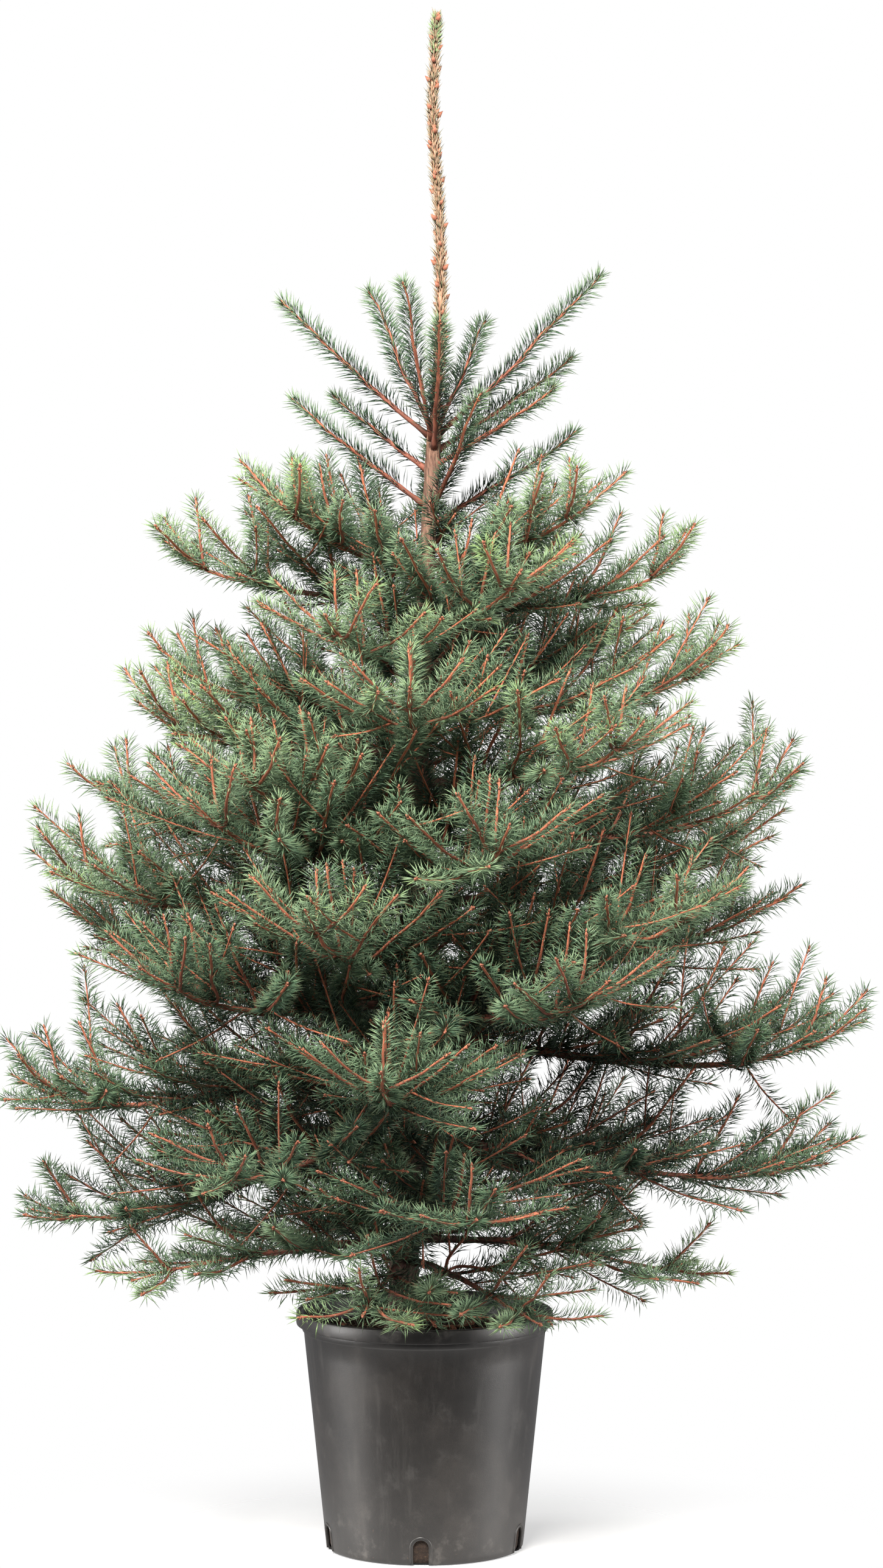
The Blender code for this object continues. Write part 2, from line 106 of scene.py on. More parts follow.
# %% The nodes of a material or of the room
class Nodes:
    """A tree of nodes that is filled one node at a time."""

    def __init__(self, tree):
        self.tree = tree

    def join(self, socket, value):
        """Give a socket a link or a plain value."""
        if isinstance(value, Value):
            self.tree.links.new(value.socket, socket)
        else:
            socket.default_value = value

    def node(self, kind, settings=None, sockets=(), output=0):
        """Make a node: its settings first, then its sockets, by number or by name."""
        made = self.tree.nodes.new(kind)
        for name, value in (settings or {}).items():
            setattr(made, name, value)
        pairs = sockets.items() if isinstance(sockets, dict) else enumerate(sockets)
        for key, value in pairs:
            self.join(made.inputs[key], value)
        return Value(self, made.outputs[output])

    def axis(self, where, name):
        """One coordinate of a place or of a mark."""
        return self.node("ShaderNodeSeparateXYZ", {}, [where], output=name)

    def fade(self, value, low, high):
        """0 below low, 1 above high, and a smooth step between them."""
        return self.node("ShaderNodeMapRange", {"interpolation_type": "SMOOTHSTEP"},
                         {"Value": value, "From Min": low, "From Max": high})

    def mix(self, share, first, second, blend="MIX"):
        """Two colours, the second one as strong as share."""
        colours = [colour if isinstance(colour, Value) else (*colour, 1) for colour in (first, second)]
        return self.node("ShaderNodeMix", {"data_type": "RGBA", "blend_type": blend},
                         {0: share, 6: colours[0], 7: colours[1]}, 2)

    def ramp(self, value, *stops):
        """A run of colours along a value."""
        run = self.node("ShaderNodeValToRGB", {}, [value])
        ends = run.socket.node.color_ramp.elements
        for place, _ in stops[2:]:
            ends.new(place)
        for stop, (place, colour) in zip(ends, stops):
            stop.position = place
            stop.color = (*colour, 1)
        return run


# %% A material
class Finish(Nodes):
    """One Principled material, and the nodes that vary it."""

    def __init__(self, name, roughness, **plain):
        self.material = bpy.data.materials.new(name)
        self.material.use_nodes = True
        super().__init__(self.material.node_tree)
        self.shader = self.tree.nodes["Principled BSDF"]
        self.set("Roughness", roughness)
        for socket, value in plain.items():
            self.set(socket.replace("_", " "), value)

    def set(self, socket, value):
        """Give one of the shader's own sockets a value."""
        self.join(self.shader.inputs[socket], value)

    def place(self):
        """Where a point of the surface is, in the object's own frame, in metres."""
        return self.node("ShaderNodeTexCoord", output="Object")

    def stretched(self, scale):
        """The same place, stretched along each axis."""
        return self.node("ShaderNodeMapping", {}, {"Vector": self.place(), "Scale": scale})

    def cloud(self, where, scale, detail, roughness):
        """Soft random patches from 0 to 1."""
        return self.node("ShaderNodeTexNoise", {}, {"Vector": where, "Scale": scale, "Detail": detail,
                                                    "Roughness": roughness})

    def mark(self, axis):
        """One of the two numbers that each corner of a repeated shape carries."""
        return self.axis(self.node("ShaderNodeUVMap", {"uv_map": "OFBake"}), axis)

    def bump(self, height, strength, depth):
        """Raise the surface by a height that is worked out at each point."""
        self.set("Normal", self.node("ShaderNodeBump", {}, {"Height": height, "Strength": strength,
                                                            "Distance": depth}))


# %% [markdown]
# ## Repeated shapes
# The tree has hundreds of thousands of needles. One needle, one bud and one length of twig are
# modelled with mesh operators as plain templates. numpy then places the copies, because an operator
# for each needle would take hours. A template is kept as two tables: its corners, and its triangles.

# %% Templates and the pieces made of them
class Template:
    """A modelled shape as tables: its corners and its triangles."""

    def __init__(self, bm):
        bmesh.ops.triangulate(bm, faces=bm.faces)
        bmesh.ops.recalc_face_normals(bm, faces=bm.faces)
        bm.verts.index_update()
        self.corners = np.array([tuple(vert.co) for vert in bm.verts])
        self.faces = np.array([[vert.index for vert in face.verts] for face in bm.faces])
        bm.free()


class Heap:
    """Copies of templates, gathered until they become one piece."""

    def __init__(self):
        self.corners, self.faces, self.map, self.count = [], [], [], 0

    def add(self, corners, faces, marks):
        """Add shapes: corners as (copies, corners, 3), and a mark of two numbers at each corner."""
        copies, per = corners.shape[:2]
        shift = self.count + per * np.arange(copies)
        self.corners.append(corners.reshape(-1, 3))
        self.faces.append((faces[None, :, :] + shift[:, None, None]).reshape(-1, 3))
        self.map.append(marks.reshape(-1, 2))
        self.count += copies * per

    def piece(self, name, finish, smooth=True, marked=True):
        """Make the piece, with its marks as the map that its finish reads if it is marked."""
        corners, faces, marks = (np.concatenate(table) for table in (self.corners, self.faces, self.map))
        mesh = bpy.data.meshes.new(name)
        mesh.vertices.add(len(corners))
        mesh.vertices.foreach_set("co", corners.astype(np.float32).ravel())
        mesh.loops.add(faces.size)
        mesh.loops.foreach_set("vertex_index", faces.astype(np.int32).ravel())
        mesh.polygons.add(len(faces))
        mesh.polygons.foreach_set("loop_start", np.arange(0, faces.size, 3, dtype=np.int32))
        mesh.polygons.foreach_set("use_smooth", np.full(len(faces), smooth))
        if marked:
            layer = mesh.uv_layers.new(name="OFBake")
            layer.data.foreach_set("uv", marks[faces.ravel()].astype(np.float32).ravel())
        mesh.update(calc_edges=True)
        return as_piece(name, mesh, finish)


def mesh_of(name, bm):
    """A finished mesh made of a shape that was modelled with operators."""
    mesh = bpy.data.meshes.new(name)
    bm.to_mesh(mesh)
    bm.free()
    return mesh


def as_piece(name, mesh, finish):
    """Put a mesh in the scene as one piece of the object, with its finish."""
    mesh.materials.append(finish.material)
    made = bpy.data.objects.new(name, mesh)
    bpy.context.scene.collection.objects.link(made)
    return made


def settle(piece, slot, *nodes):
    """Say what a piece rides on and what it stands for. Its slot, what it would take its finish from, is
    not used.
    """
    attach(piece, "root")
    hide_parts(*nodes)
    return piece


# %% [markdown]
# ## Reading the bones
# Each branch in the frame is a plain square tube with side shoots. Its real look needs the lines
# inside those tubes. A copy of each solid is welded and its triangles are joined back into squares.
# Then a walk from each shoot's point, one ring of corners at a time, finds the middle of the wood.

# %% Weld a copy of a solid part
WELD = 0.02 * MM
FLAT_ENOUGH = math.radians(50)


def welded(node):
    """A copy of a solid part's mesh with its corners joined and its triangles made squares again."""
    bm = bmesh.new()
    bm.from_mesh(node.data)
    bmesh.ops.remove_doubles(bm, verts=bm.verts, dist=WELD)
    bmesh.ops.join_triangles(bm, faces=bm.faces, angle_face_threshold=FLAT_ENOUGH,
                             angle_shape_threshold=math.pi)
    return bm


def middle(ring):
    """The centre of a ring of corners."""
    return np.mean([tuple(vert.co) for vert in ring], axis=0)


def spread(ring):
    """The radius of a ring of corners."""
    return float(np.mean([np.linalg.norm(np.array(vert.co) - middle(ring)) for vert in ring]))


def walk(point, left):
    """The rings of corners that follow a shoot's point, through the corners still left."""
    rings, seen, edge = [], {point}, {point}
    while edge:
        edge = {link.other_vert(vert) for vert in edge for link in vert.link_edges} & (left - seen)
        seen |= edge
        rings.append(edge)
    return rings[:-1]


# %% The bones of one branch
def read_branch(node):
    """A branch's own line with its radii, and the lines of its side shoots."""
    bm = welded(node)
    left = set(bm.verts)
    points = [vert for vert in bm.verts if all(len(face.verts) == 3 for face in vert.link_faces)]
    points.sort(key=lambda point: spread(walk(point, left)[0]))
    sides = []
    for point in points[:-1]:
        end, bend, wall = walk(point, left)[:3]
        sides.append(np.array([middle(wall), middle(bend), middle([point])]))
        left -= {point, *end}
        left -= bend
    rings = walk(points[-1], left)[::-1]
    line = np.array([middle(ring) for ring in rings] + [middle(points[-1:])])
    radii = np.array([spread(ring) for ring in rings] + [spread(rings[-1]) * 0.6])
    bm.free()
    return line, radii, sides


bones = {name: read_branch(node) for name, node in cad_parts.items() if name.startswith("branch")}
print(len(bones), "branches,", sum(len(sides) for _, _, sides in bones.values()), "side shoots read")

# %% [markdown]
# ## Lines without corners
# Wood bends smoothly, while the bones are straight between rings. A smooth line passes through all
# the bones' points and is cut into even steps, so that twigs and needles can be set out along it.
# Each line also carries two directions across it: one to its side, and one that leans upwards.

# %% Smooth lines
def length_of(line):
    """How long a line is."""
    return float(np.linalg.norm(np.diff(line, axis=0), axis=1).sum())


def smooth_line(points, step):
    """The line through some points, without corners, in even steps."""
    points = np.asarray(points, float)
    lengths = np.concatenate(([0], np.cumsum(np.linalg.norm(np.diff(points, axis=0), axis=1))))
    slopes = np.gradient(points, lengths, axis=0)
    places = np.linspace(0, lengths[-1], max(4, math.ceil(lengths[-1] / step) + 1))
    span = np.clip(np.searchsorted(lengths, places, side="right") - 1, 0, len(points) - 2)
    width = (lengths[span + 1] - lengths[span])[:, None]
    t = (places - lengths[span])[:, None] / width
    start = points[span] * (2 * t ** 3 - 3 * t ** 2 + 1) + slopes[span] * width * (t ** 3 - 2 * t ** 2 + t)
    end = points[span + 1] * (3 * t ** 2 - 2 * t ** 3) + slopes[span + 1] * width * (t ** 3 - t ** 2)
    return start + end


def unit(vectors):
    """Vectors with a length of one."""
    return vectors / np.linalg.norm(vectors, axis=-1, keepdims=True)


class Shoot:
    """One length of wood: its line, its radii, its bark from old (0) to young (1), and its order.

    Order 1 is a main line, 2 grows on order 1, and 3 is a twig. Radii and ages are read evenly along it.
    """

    def __init__(self, line, radii, ages, order, across=None):
        self.line, self.order = line, order
        self.ages = np.linspace(*ages, len(line))
        self.radii = np.interp(np.linspace(0, 1, len(line)), np.linspace(0, 1, len(radii)), radii)
        self.length = length_of(line)
        self.along = unit(np.gradient(line, axis=0))
        level = np.cross(self.along, UP) if across is None else np.tile(across, (len(line), 1))
        self.side = unit(level - self.along * (level * self.along).sum(1, keepdims=True))
        self.top = np.cross(self.side, self.along)

    def at(self, share, table):
        """One of the shoot's tables, read at shares of its length."""
        steps = np.clip(np.asarray(share) * (len(self.line) - 1), 0, len(self.line) - 1)
        low = np.minimum(steps.astype(int), len(self.line) - 2)
        part = steps - low
        if table.ndim == 1:
            return table[low] * (1 - part) + table[low + 1] * part
        return table[low] * (1 - part)[..., None] + table[low + 1] * part[..., None]


# %% [markdown]
# ## Growing the finer twigs
# The solid parts stop at the side shoots. On the real tree the side shoots and the main line carry
# one-year twigs too. They leave forwards, one after the other round the wood, more of them at the
# sides and above than below. High up they rise towards the light, and by the pot they lie level.
# They shorten towards the tip, which gives every branch its pointed outline. A twig that would
# reach the pot or stick out of the tree is made shorter, or left out.

# %% Room for a twig
STEP = 9 * MM
POT_ROOM = 5 * MM
pot_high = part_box("pot")[1]
RIM = pot_high.x
RIM_TOP = pot_high.z
REACH_LOW, REACH_HIGH = (np.array(tuple(corner)) for corner in first_size)
TIP_ROOM = 8 * MM


def has_room(line):
    """Whether a line stays above the rim while it is over or beside the pot, and inside the tree."""
    over = np.hypot(line[:, 0], line[:, 1]) < RIM + POT_ROOM
    above = (line[over, 2] > RIM_TOP + POT_ROOM).all()
    inside = (line > REACH_LOW - TIP_ROOM).all() and (line < REACH_HIGH + TIP_ROOM).all()
    return bool(above and inside)


# %% Twigs round a shoot
ROLLS = np.radians((4, 178, 78, -14, 196, 112, 20, 160, -82))
TWIG_ANGLES = (34, 58)
TWIG_BEND = 0.45
TWIG_FORWARDS = 0.12
TWIG_UPWARDS = 0.10
TWIG_TAPER = 0.60
TWIG_WOOD = (1.30 * MM, 0.90 * MM)
TWIG_LENGTHS_TRIED = (1.0, 0.75, 0.5)
UNDER = 0.7


def twig_line(start, along, out, lift, length, angle):
    """A twig that leaves at an angle, then bends forwards and towards the light."""
    leaving = unit(along * math.cos(angle) + out * math.sin(angle) + UP * lift)
    ending = unit(leaving + along * TWIG_FORWARDS + UP * TWIG_UPWARDS)
    bend = start + leaving * length * TWIG_BEND
    return smooth_line([start, bend, bend + ending * length * (1 - TWIG_BEND)], STEP)


def grow_twigs(parent, first, last, spacing, lengths, lift, age):
    """Twigs one after the other along a shoot, from one share of its length to another."""
    twigs = []
    count = max(0, int(parent.length * (last - first) / spacing + dice.uniform(0, 1)))
    turn = dice.integers(len(ROLLS))
    for number in range(count):
        share = first + (last - first) * (number + dice.uniform(0.2, 0.8)) / count
        length = min(lengths[1], parent.length * (1 - share) * TWIG_TAPER + lengths[0])
        length *= dice.uniform(0.75, 1.15)
        roll = ROLLS[(turn + number) % len(ROLLS)] + dice.normal(0, 0.22)
        place, along = parent.at(share, parent.line), parent.at(share, parent.along)
        side, top = parent.at(share, parent.side), parent.at(share, parent.top)
        out = side * math.cos(roll) + top * math.sin(roll)
        if math.sin(roll) < -0.5:
            length *= UNDER
        rise, angle = lift + dice.normal(0, 0.14), math.radians(dice.uniform(*TWIG_ANGLES))
        lines = [twig_line(place, along, out, rise, length * part, angle) for part in TWIG_LENGTHS_TRIED]
        line = next((line for line in lines if has_room(line)), None)
        if line is not None:
            twigs.append(Shoot(line, TWIG_WOOD, (age, age + 0.08), 3))
    return twigs


# %% What changes from the crown down to the pot
# How much twigs rise, how far apart and how long they are against the middle of the tree, and how
# much younger their bark looks.
TIER_ORDER = ("crown", "tier_1", "tier_2", "tier_3", "tier_4", "tier_5", "tier_6")
TIER_LIFT = (0.30, 0.22, 0.16, 0.12, 0.06, 0.00, -0.04)
TIER_GAP = (1.0, 1.70, 1.25, 1.0, 1.0, 1.0, 1.5)
TIER_TWIG = (1.0, 0.66, 0.84, 1.0, 1.0, 1.0, 0.9)
TIER_YOUTH = (0.0, 0.02, 0.0, -0.02, -0.07, -0.14, -0.16)


def tier_of(name):
    """Which tier a branch is in, from 0 at the crown to 6 at the pot."""
    return next(number for number, tier in enumerate(TIER_ORDER) if f"_{tier}_" in name)


# %% Every shoot of a branch
CROWN_WOOD = (3.0 * MM, 1.5 * MM)
SIDE_WOOD = (2.0 * MM, 1.2 * MM)
MAIN_WANDER = 0.8 * MM
SIDE_WANDER = 0.7 * MM
SWELL_AT_STEM = (1.5, 1.2)
# Twigs on a side shoot and on a main line: the share of its length where they start, how far from its
# tip they stop, how far apart they are, the shortest and the longest, and how young their bark is.
SIDE_TWIGS = (0.16, 0.080, 0.050, 0.070, 0.140, 0.73)
MAIN_TWIGS = (0.08, 0.120, 0.040, 0.080, 0.165, 0.67)


def wander(line, amount, length):
    """The small bends of real wood: none at the foot, and more towards the tip."""
    shares = np.linspace(0, 1, len(line))[:, None]
    phase = dice.uniform(0, 2 * math.pi, (3, 3))
    waves = length / 0.11 * np.array((1.0, 1.9, 3.1))
    swing = sum(np.sin(waves[k] * 2 * math.pi * shares + phase[k]) / (k + 1) for k in range(3))
    return line + swing * amount * np.minimum(1, shares * 3)


def grow_branch(name):
    """All the shoots of one branch: its main line first, then side shoots, then twigs."""
    line, radii, sides = bones[name]
    tier = tier_of(name)
    inward = unit(line[0] - line[1])
    line = np.vstack(([line[0] + inward * radii[0] * 0.8], line))
    main_line = wander(smooth_line(line, STEP), MAIN_WANDER, length_of(line))
    thick = np.concatenate(([radii[0]], radii * np.linspace(1.0, 0.85, len(radii))))
    if tier == 0:
        thick = np.minimum(thick, np.linspace(*CROWN_WOOD, len(thick)))
    youth = TIER_YOUTH[tier]
    main = Shoot(main_line, thick, (0.40, 0.78) if tier == 0 else (0.16, 0.82 + youth), 1)
    main.radii[:2] *= SWELL_AT_STEM
    shoots = [main]
    for side in sides:
        nearest = main.line[np.argmin(np.linalg.norm(main.line - side[0], axis=1))]
        run = wander(smooth_line(np.vstack(([nearest], side)), STEP), SIDE_WANDER, 0.1)
        shoots.append(Shoot(run, SIDE_WOOD, (0.48, 0.82 + youth), 2))
    if tier == 0:
        return shoots
    lift, gap, long = TIER_LIFT[tier], TIER_GAP[tier], TIER_TWIG[tier]
    for shoot, twigs in [(side, SIDE_TWIGS) for side in shoots[1:]] + [(main, MAIN_TWIGS)]:
        first, free, apart, least, most, age = twigs
        shoots += grow_twigs(shoot, first, 1 - free / shoot.length, apart * gap,
                             (least * long, most * long), lift, age + youth)
    return shoots


branches = {name: grow_branch(name) for name in bones}
total = sum(shoot.length for shoots in branches.values() for shoot in shoots)
print(sum(len(shoots) for shoots in branches.values()), "shoots,", round(total), "m of wood in all")

# %% [markdown]
# ## Twig wood and buds
# A twig is a thin tapering tube. Its bark is orange-brown in the first year and turns grey-brown with
# age, and it is mottled, so each corner's age is a little off. It could be a curve with a bevel, but
# a curve's ends and taper are hard to control for over a thousand twigs. Here one closed tube is
# modelled with operators, and every twig is a copy of it bent along its own line. A pointed bud
# closes each twig, often with a few beside it.

# %% The tube and the bud
TWIG_SIDES = 5
LIMB_SIDES = 8


def tube(sides, rings):
    """A closed tube along +Z from 0 to 1, with evenly spaced rings and a point in each end."""
    bm = bmesh.new()
    bmesh.ops.create_cone(bm, cap_ends=True, segments=sides, radius1=1, radius2=1, depth=1)
    bmesh.ops.translate(bm, verts=bm.verts, vec=(0, 0, 0.5))
    long = [edge for edge in bm.edges if abs(edge.verts[0].co.z - edge.verts[1].co.z) > 0.5]
    bmesh.ops.subdivide_edges(bm, edges=long, cuts=rings - 2, use_grid_fill=True)
    caps = [face for face in bm.faces if abs(face.normal.z) > 0.9]
    bmesh.ops.poke(bm, faces=caps)
    return Template(bm)


def bud_shape():
    """An egg-shaped bud, one unit long, with its point at +Z."""
    bm = bmesh.new()
    bmesh.ops.create_cone(bm, cap_ends=True, segments=5, radius1=0.30, radius2=0, depth=0.62)
    bmesh.ops.translate(bm, verts=bm.verts, vec=(0, 0, 0.69))
    foot = [face for face in bm.faces if face.normal.z < -0.9]
    bmesh.ops.poke(bm, faces=foot, offset=0.38)
    return Template(bm)


tubes = {}
bud = bud_shape()


def lay_tube(heap, shoot, sides, jitter):
    """Bend a copy of the tube along a shoot, and mark each ring with the age of its bark."""
    rings = len(shoot.line)
    if (sides, rings) not in tubes:
        tubes[sides, rings] = tube(sides, rings)
    shape = tubes[sides, rings]
    ring = np.rint(shape.corners[:, 2] * (rings - 1)).astype(int)
    across, up = shape.corners[:, :1], shape.corners[:, 1:2]
    swell = 1 + jitter * dice.uniform(-1, 1, rings)[ring][:, None]
    spoke = (across * shoot.side[ring] + up * shoot.top[ring]) * (shoot.radii[ring][:, None] * swell)
    age = np.clip(shoot.ages[ring] + dice.normal(0, 0.075, len(ring)), 0.02, 0.86)
    around = 0.04 + 0.92 * np.abs(np.arctan2(up, across)[:, 0]) / math.pi
    heap.add((shoot.line[ring] + spoke)[None], shape.faces, np.column_stack((around, age)))


def lay_bud(heap, place, along, side, length):
    """Set a bud on a shoot."""
    side = unit(side - along * (side * along).sum())
    turn = np.stack((side, np.cross(along, side), along))
    corners = place + (bud.corners * length) @ turn
    marks = np.column_stack((0.5 + bud.corners[:, 0], 0.91 + 0.08 * bud.corners[:, 2]))
    heap.add(corners[None], bud.faces, marks)


# %% Twig bark and bud scales
def twig_finish():
    """Bark by its age from old to new, then bud scales at the end of the same run."""
    finish = Finish("twig_bark", 0.72)
    bark = finish.ramp(finish.mark("Y"), (0.0, (0.060, 0.034, 0.030)), (0.26, (0.120, 0.052, 0.038)),
                       (0.52, (0.270, 0.084, 0.050)), (0.84, (0.600, 0.190, 0.098)),
                       (0.90, (0.230, 0.070, 0.040)), (1.0, (0.400, 0.150, 0.085)))
    shaded = finish.mix(finish.fade(finish.mark("X"), 0.1, 0.9) * 0.35, (1, 1, 1), (0.62, 0.60, 0.60))
    finish.set("Base Color", finish.mix(1.0, bark, shaded, "MULTIPLY"))
    return finish


twig_bark = twig_finish()


def make_wood(name, shoots):
    """One branch's wood and buds as one piece."""
    heap = Heap()
    for shoot in shoots:
        sides = TWIG_SIDES if shoot.order == 3 else LIMB_SIDES
        lay_tube(heap, shoot, sides, 0.10 if shoot.order == 1 else 0.06)
        end, along = shoot.line[-1], shoot.along[-1]
        lay_bud(heap, end - along * 1.5 * MM, along, shoot.side[-1], dice.uniform(5.5, 7.0) * MM)
        for _ in range(0 if shoot.order == 3 and shoot.length < 0.06 else 3):
            turn = dice.uniform(0, 2 * math.pi)
            out = shoot.side[-1] * math.cos(turn) + shoot.top[-1] * math.sin(turn)
            back = end - along * dice.uniform(1.0, 9.0) * MM
            lay_bud(heap, back, unit(along * 0.8 + out * 0.7), shoot.side[-1], dice.uniform(4.0, 5.5) * MM)
    return settle(heap.piece(f"{name}_wood", twig_bark), "foliage", name)


for name, shoots in branches.items():
    make_wood(name, shoots)
print("wood made for", len(branches), "branches")

# %% [markdown]
# ## Needles
# A spruce needle is a stiff four-sided spike, 15 to 20 mm long and just over 1 mm thick, set on its
# own little peg. Needles follow each other round the twig in a spiral of the golden angle. They lean
# forwards, those underneath sweep out to the sides, and those at the tip close up round the bud.
# One needle is the hull round four points: its foot, its tip and the two edges of its waist. That is
# a closed blade of four triangles, no more, because over a quarter of a million of them are drawn.
# Its mark holds how far along it a point is, and its tone.

# %% One needle
GOLDEN = math.pi * (3 - math.sqrt(5))
NEEDLE_WAIST = 0.52
NEEDLE_KEEL = 0.55


def needle_shape():
    """A needle one unit long along +Z and one unit wide at its waist, with a keel along one side."""
    bm = bmesh.new()
    edges = [(side, NEEDLE_KEEL, NEEDLE_WAIST) for side in (0.5, -0.5)]
    for corner in ((0, 0, 0), (0, 0, 1), *edges):
        bm.verts.new(corner)
    bmesh.ops.convex_hull(bm, input=bm.verts)
    return Template(bm)


needle = needle_shape()
print("a needle has", len(needle.faces), "triangles; it reaches from", needle.corners[:, 2].min(),
      "to", needle.corners[:, 2].max())

# %% Set needles along a shoot
NEEDLES_PER_METRE = 1560
NEEDLE_LENGTH = 21.5 * MM
NEEDLE_WIDTH = 1.28 * MM
NEEDLE_LEAN = 64
TIP_RUN = 16 * MM
TIP_CLOSING = 28
TIP_SHORTER = 0.22
FOOT_RUN = 20 * MM
FOOT_SHORTER = 0.28
SWEEP = 0.75


def even(value):
    """The same value at every place of a shoot."""
    return lambda place, share: np.full(len(share), float(value))


def set_needles(heap, shoot, tone, bare, close=1.0, length=1.0, dense=1.0, parting=0.30):
    """Spiral needles up a shoot. bare tells for each place how likely a needle is missing."""
    count = int(shoot.length * NEEDLES_PER_METRE * dense)
    share = (np.arange(count) + dice.uniform(-0.4, 0.4, count)) / count
    share = np.clip(share * 0.97 + 0.03, 0, 1)
    place = shoot.at(share, shoot.line)
    turn = GOLDEN * np.arange(count) + dice.normal(0, 0.25, count)
    parted = parting * np.clip(np.sin(turn), 0, 1) ** 2
    keep = dice.uniform(0, 1, count) > 1 - (1 - bare(place, share)) * (1 - parted)
    share, place, turn = share[keep], place[keep], turn[keep]
    count = len(share)
    if not count:
        return 0
    along, side, top = (shoot.at(share, table) for table in (shoot.along, shoot.side, shoot.top))
    radial = side * np.cos(turn)[:, None] + top * np.sin(turn)[:, None]
    under = np.clip(-np.sin(turn), 0, 1)[:, None]
    level = np.linalg.norm(along[:, :2], axis=1, keepdims=True)
    out = unit(radial + top * under * level * SWEEP + UP * 0.10)
    tip = np.clip(1 - (1 - share) * shoot.length / TIP_RUN, 0, 1)
    lean = (np.radians(dice.normal(NEEDLE_LEAN, 7, count) - TIP_CLOSING * tip) * close)[:, None]
    aim = unit(along * np.cos(lean) + out * np.sin(lean))
    across = unit(np.cross(aim, along + 0.01 * UP))
    back = np.cross(across, aim)
    size = NEEDLE_LENGTH * length * dice.normal(1, 0.12, count)
    size *= 1 - FOOT_SHORTER * (1 - np.minimum(1, share * shoot.length / FOOT_RUN))
    size *= 1 - TIP_SHORTER * tip
    width = NEEDLE_WIDTH * dice.normal(1, 0.08, count)
    foot = place + radial * (shoot.at(share, shoot.radii) * 0.6)[:, None]
    x, y, z = needle.corners.T
    curve = 0.10 * dice.uniform(-0.4, 1.0, count)[:, None] * size[:, None] * (z * z)[None, :]
    corners = foot[:, None, :] + aim[:, None, :] * (size[:, None] * z)[..., None]
    corners += across[:, None, :] * (width[:, None] * x)[..., None]
    corners += back[:, None, :] * (width[:, None] * y - curve)[..., None]
    hue = np.clip(tone(place, share) + dice.normal(0, 0.055, count), 0.03, 0.97)
    marks = np.broadcast_arrays(0.03 + 0.94 * z[None, :], hue[:, None] + 0.02 * x[None, :])
    heap.add(corners, needle.faces, np.stack(marks, axis=-1))
    return count


# %% Needle colour
def needle_finish(name, *stops):
    """A waxy needle: its own colour by tone, brown at its foot and paler at its point."""
    finish = Finish(name, 0.50, Specular_IOR_Level=0.26)
    along, colour = finish.mark("X"), finish.ramp(finish.mark("Y"), *stops)
    foot = finish.mix(finish.fade(along, 0.14, 0.03) * 0.40, colour, (0.26, 0.19, 0.09))
    finish.set("Base Color", finish.mix(finish.fade(along, 0.60, 0.98) * 0.32, foot, (0.38, 0.43, 0.21)))
    return finish


# The green runs from near black, painted shade for the inside of the tree, to fresh on the newest shoots.
# The leader's is strawy.
needle_green = needle_finish("needle_green", (0.0, (0.008, 0.020, 0.012)), (0.30, (0.025, 0.053, 0.031)),
                             (0.55, (0.080, 0.139, 0.077)), (0.78, (0.180, 0.262, 0.150)),
                             (1.0, (0.245, 0.365, 0.130)))
needle_straw = needle_finish("needle_straw", (0.0, (0.050, 0.065, 0.035)), (0.35, (0.150, 0.125, 0.075)),
                             (0.65, (0.330, 0.225, 0.150)), (1.0, (0.520, 0.370, 0.270)))

# %% Which shoots are bare, which are fresh, and where shade is painted
# Needles are darker towards the stem, partly as older needles and partly as painted shade for the deep
# inside of the tree, and missing close to it. Each tier's tone is partly painted light as well: the
# upper tiers are paler, as the bright room lights them, and tier_4 and tier_5 darker, as painted shade.
TIER_TONE_AND_LIGHT = (0.54, 0.64, 0.60, 0.49, 0.38, 0.34, 0.56)
ORDER_TONE = {1: -0.06, 2: 0.0, 3: 0.05}
TIER_SPRAY = {0: {"close": 0.90, "dense": 1.9, "parting": 0.20}, 1: {"dense": 1.15, "parting": 0.35}}
BARE_WITHIN = (0.004, 0.012, 0.022, 0.034, 0.048, 0.060, 0.060)


def make_needles(name, shoots):
    """One branch's needles as one piece."""
    tier = tier_of(name)
    heap = Heap()
    within = BARE_WITHIN[tier]
    reach = max(np.hypot(*shoot.line[-1][:2]) for shoot in shoots)

    def bare(place, share):
        out = np.hypot(place[:, 0], place[:, 1])
        return np.clip(1.0 - (out - within) / (0.05 + 0.3 * within), 0.02, 0.985)

    count = 0
    for shoot in shoots:
        shift = dice.normal(0, 0.06) + ORDER_TONE[shoot.order]

        # Darker towards the stem: older needles, and painted shade for the inside of the tree.
        def tone(place, share):
            out = np.hypot(place[:, 0], place[:, 1]) / reach
            return TIER_TONE_AND_LIGHT[tier] + shift + 0.70 * (out - 0.70) + 0.12 * (share - 0.5)

        count += set_needles(heap, shoot, tone, bare, **TIER_SPRAY.get(tier, {}))
    settle(heap.piece(f"{name}_needles", needle_green), "foliage", name)
    return count


needle_count = sum(make_needles(name, shoots) for name, shoots in branches.items())
print(needle_count, "needles on the branches")

# %% [markdown]
# ## The stem
# The stem is one grown piece from the root collar to the tip of the leader. Low down its bark is
# grey-brown with dark upright furrows. Higher up it is redder, and the leader, which is this year's
# growth, is straw-coloured. One tube follows the rings of the solid stem. Its corners are then
# pushed out: a little swelling under every branch, and a fine roughness.

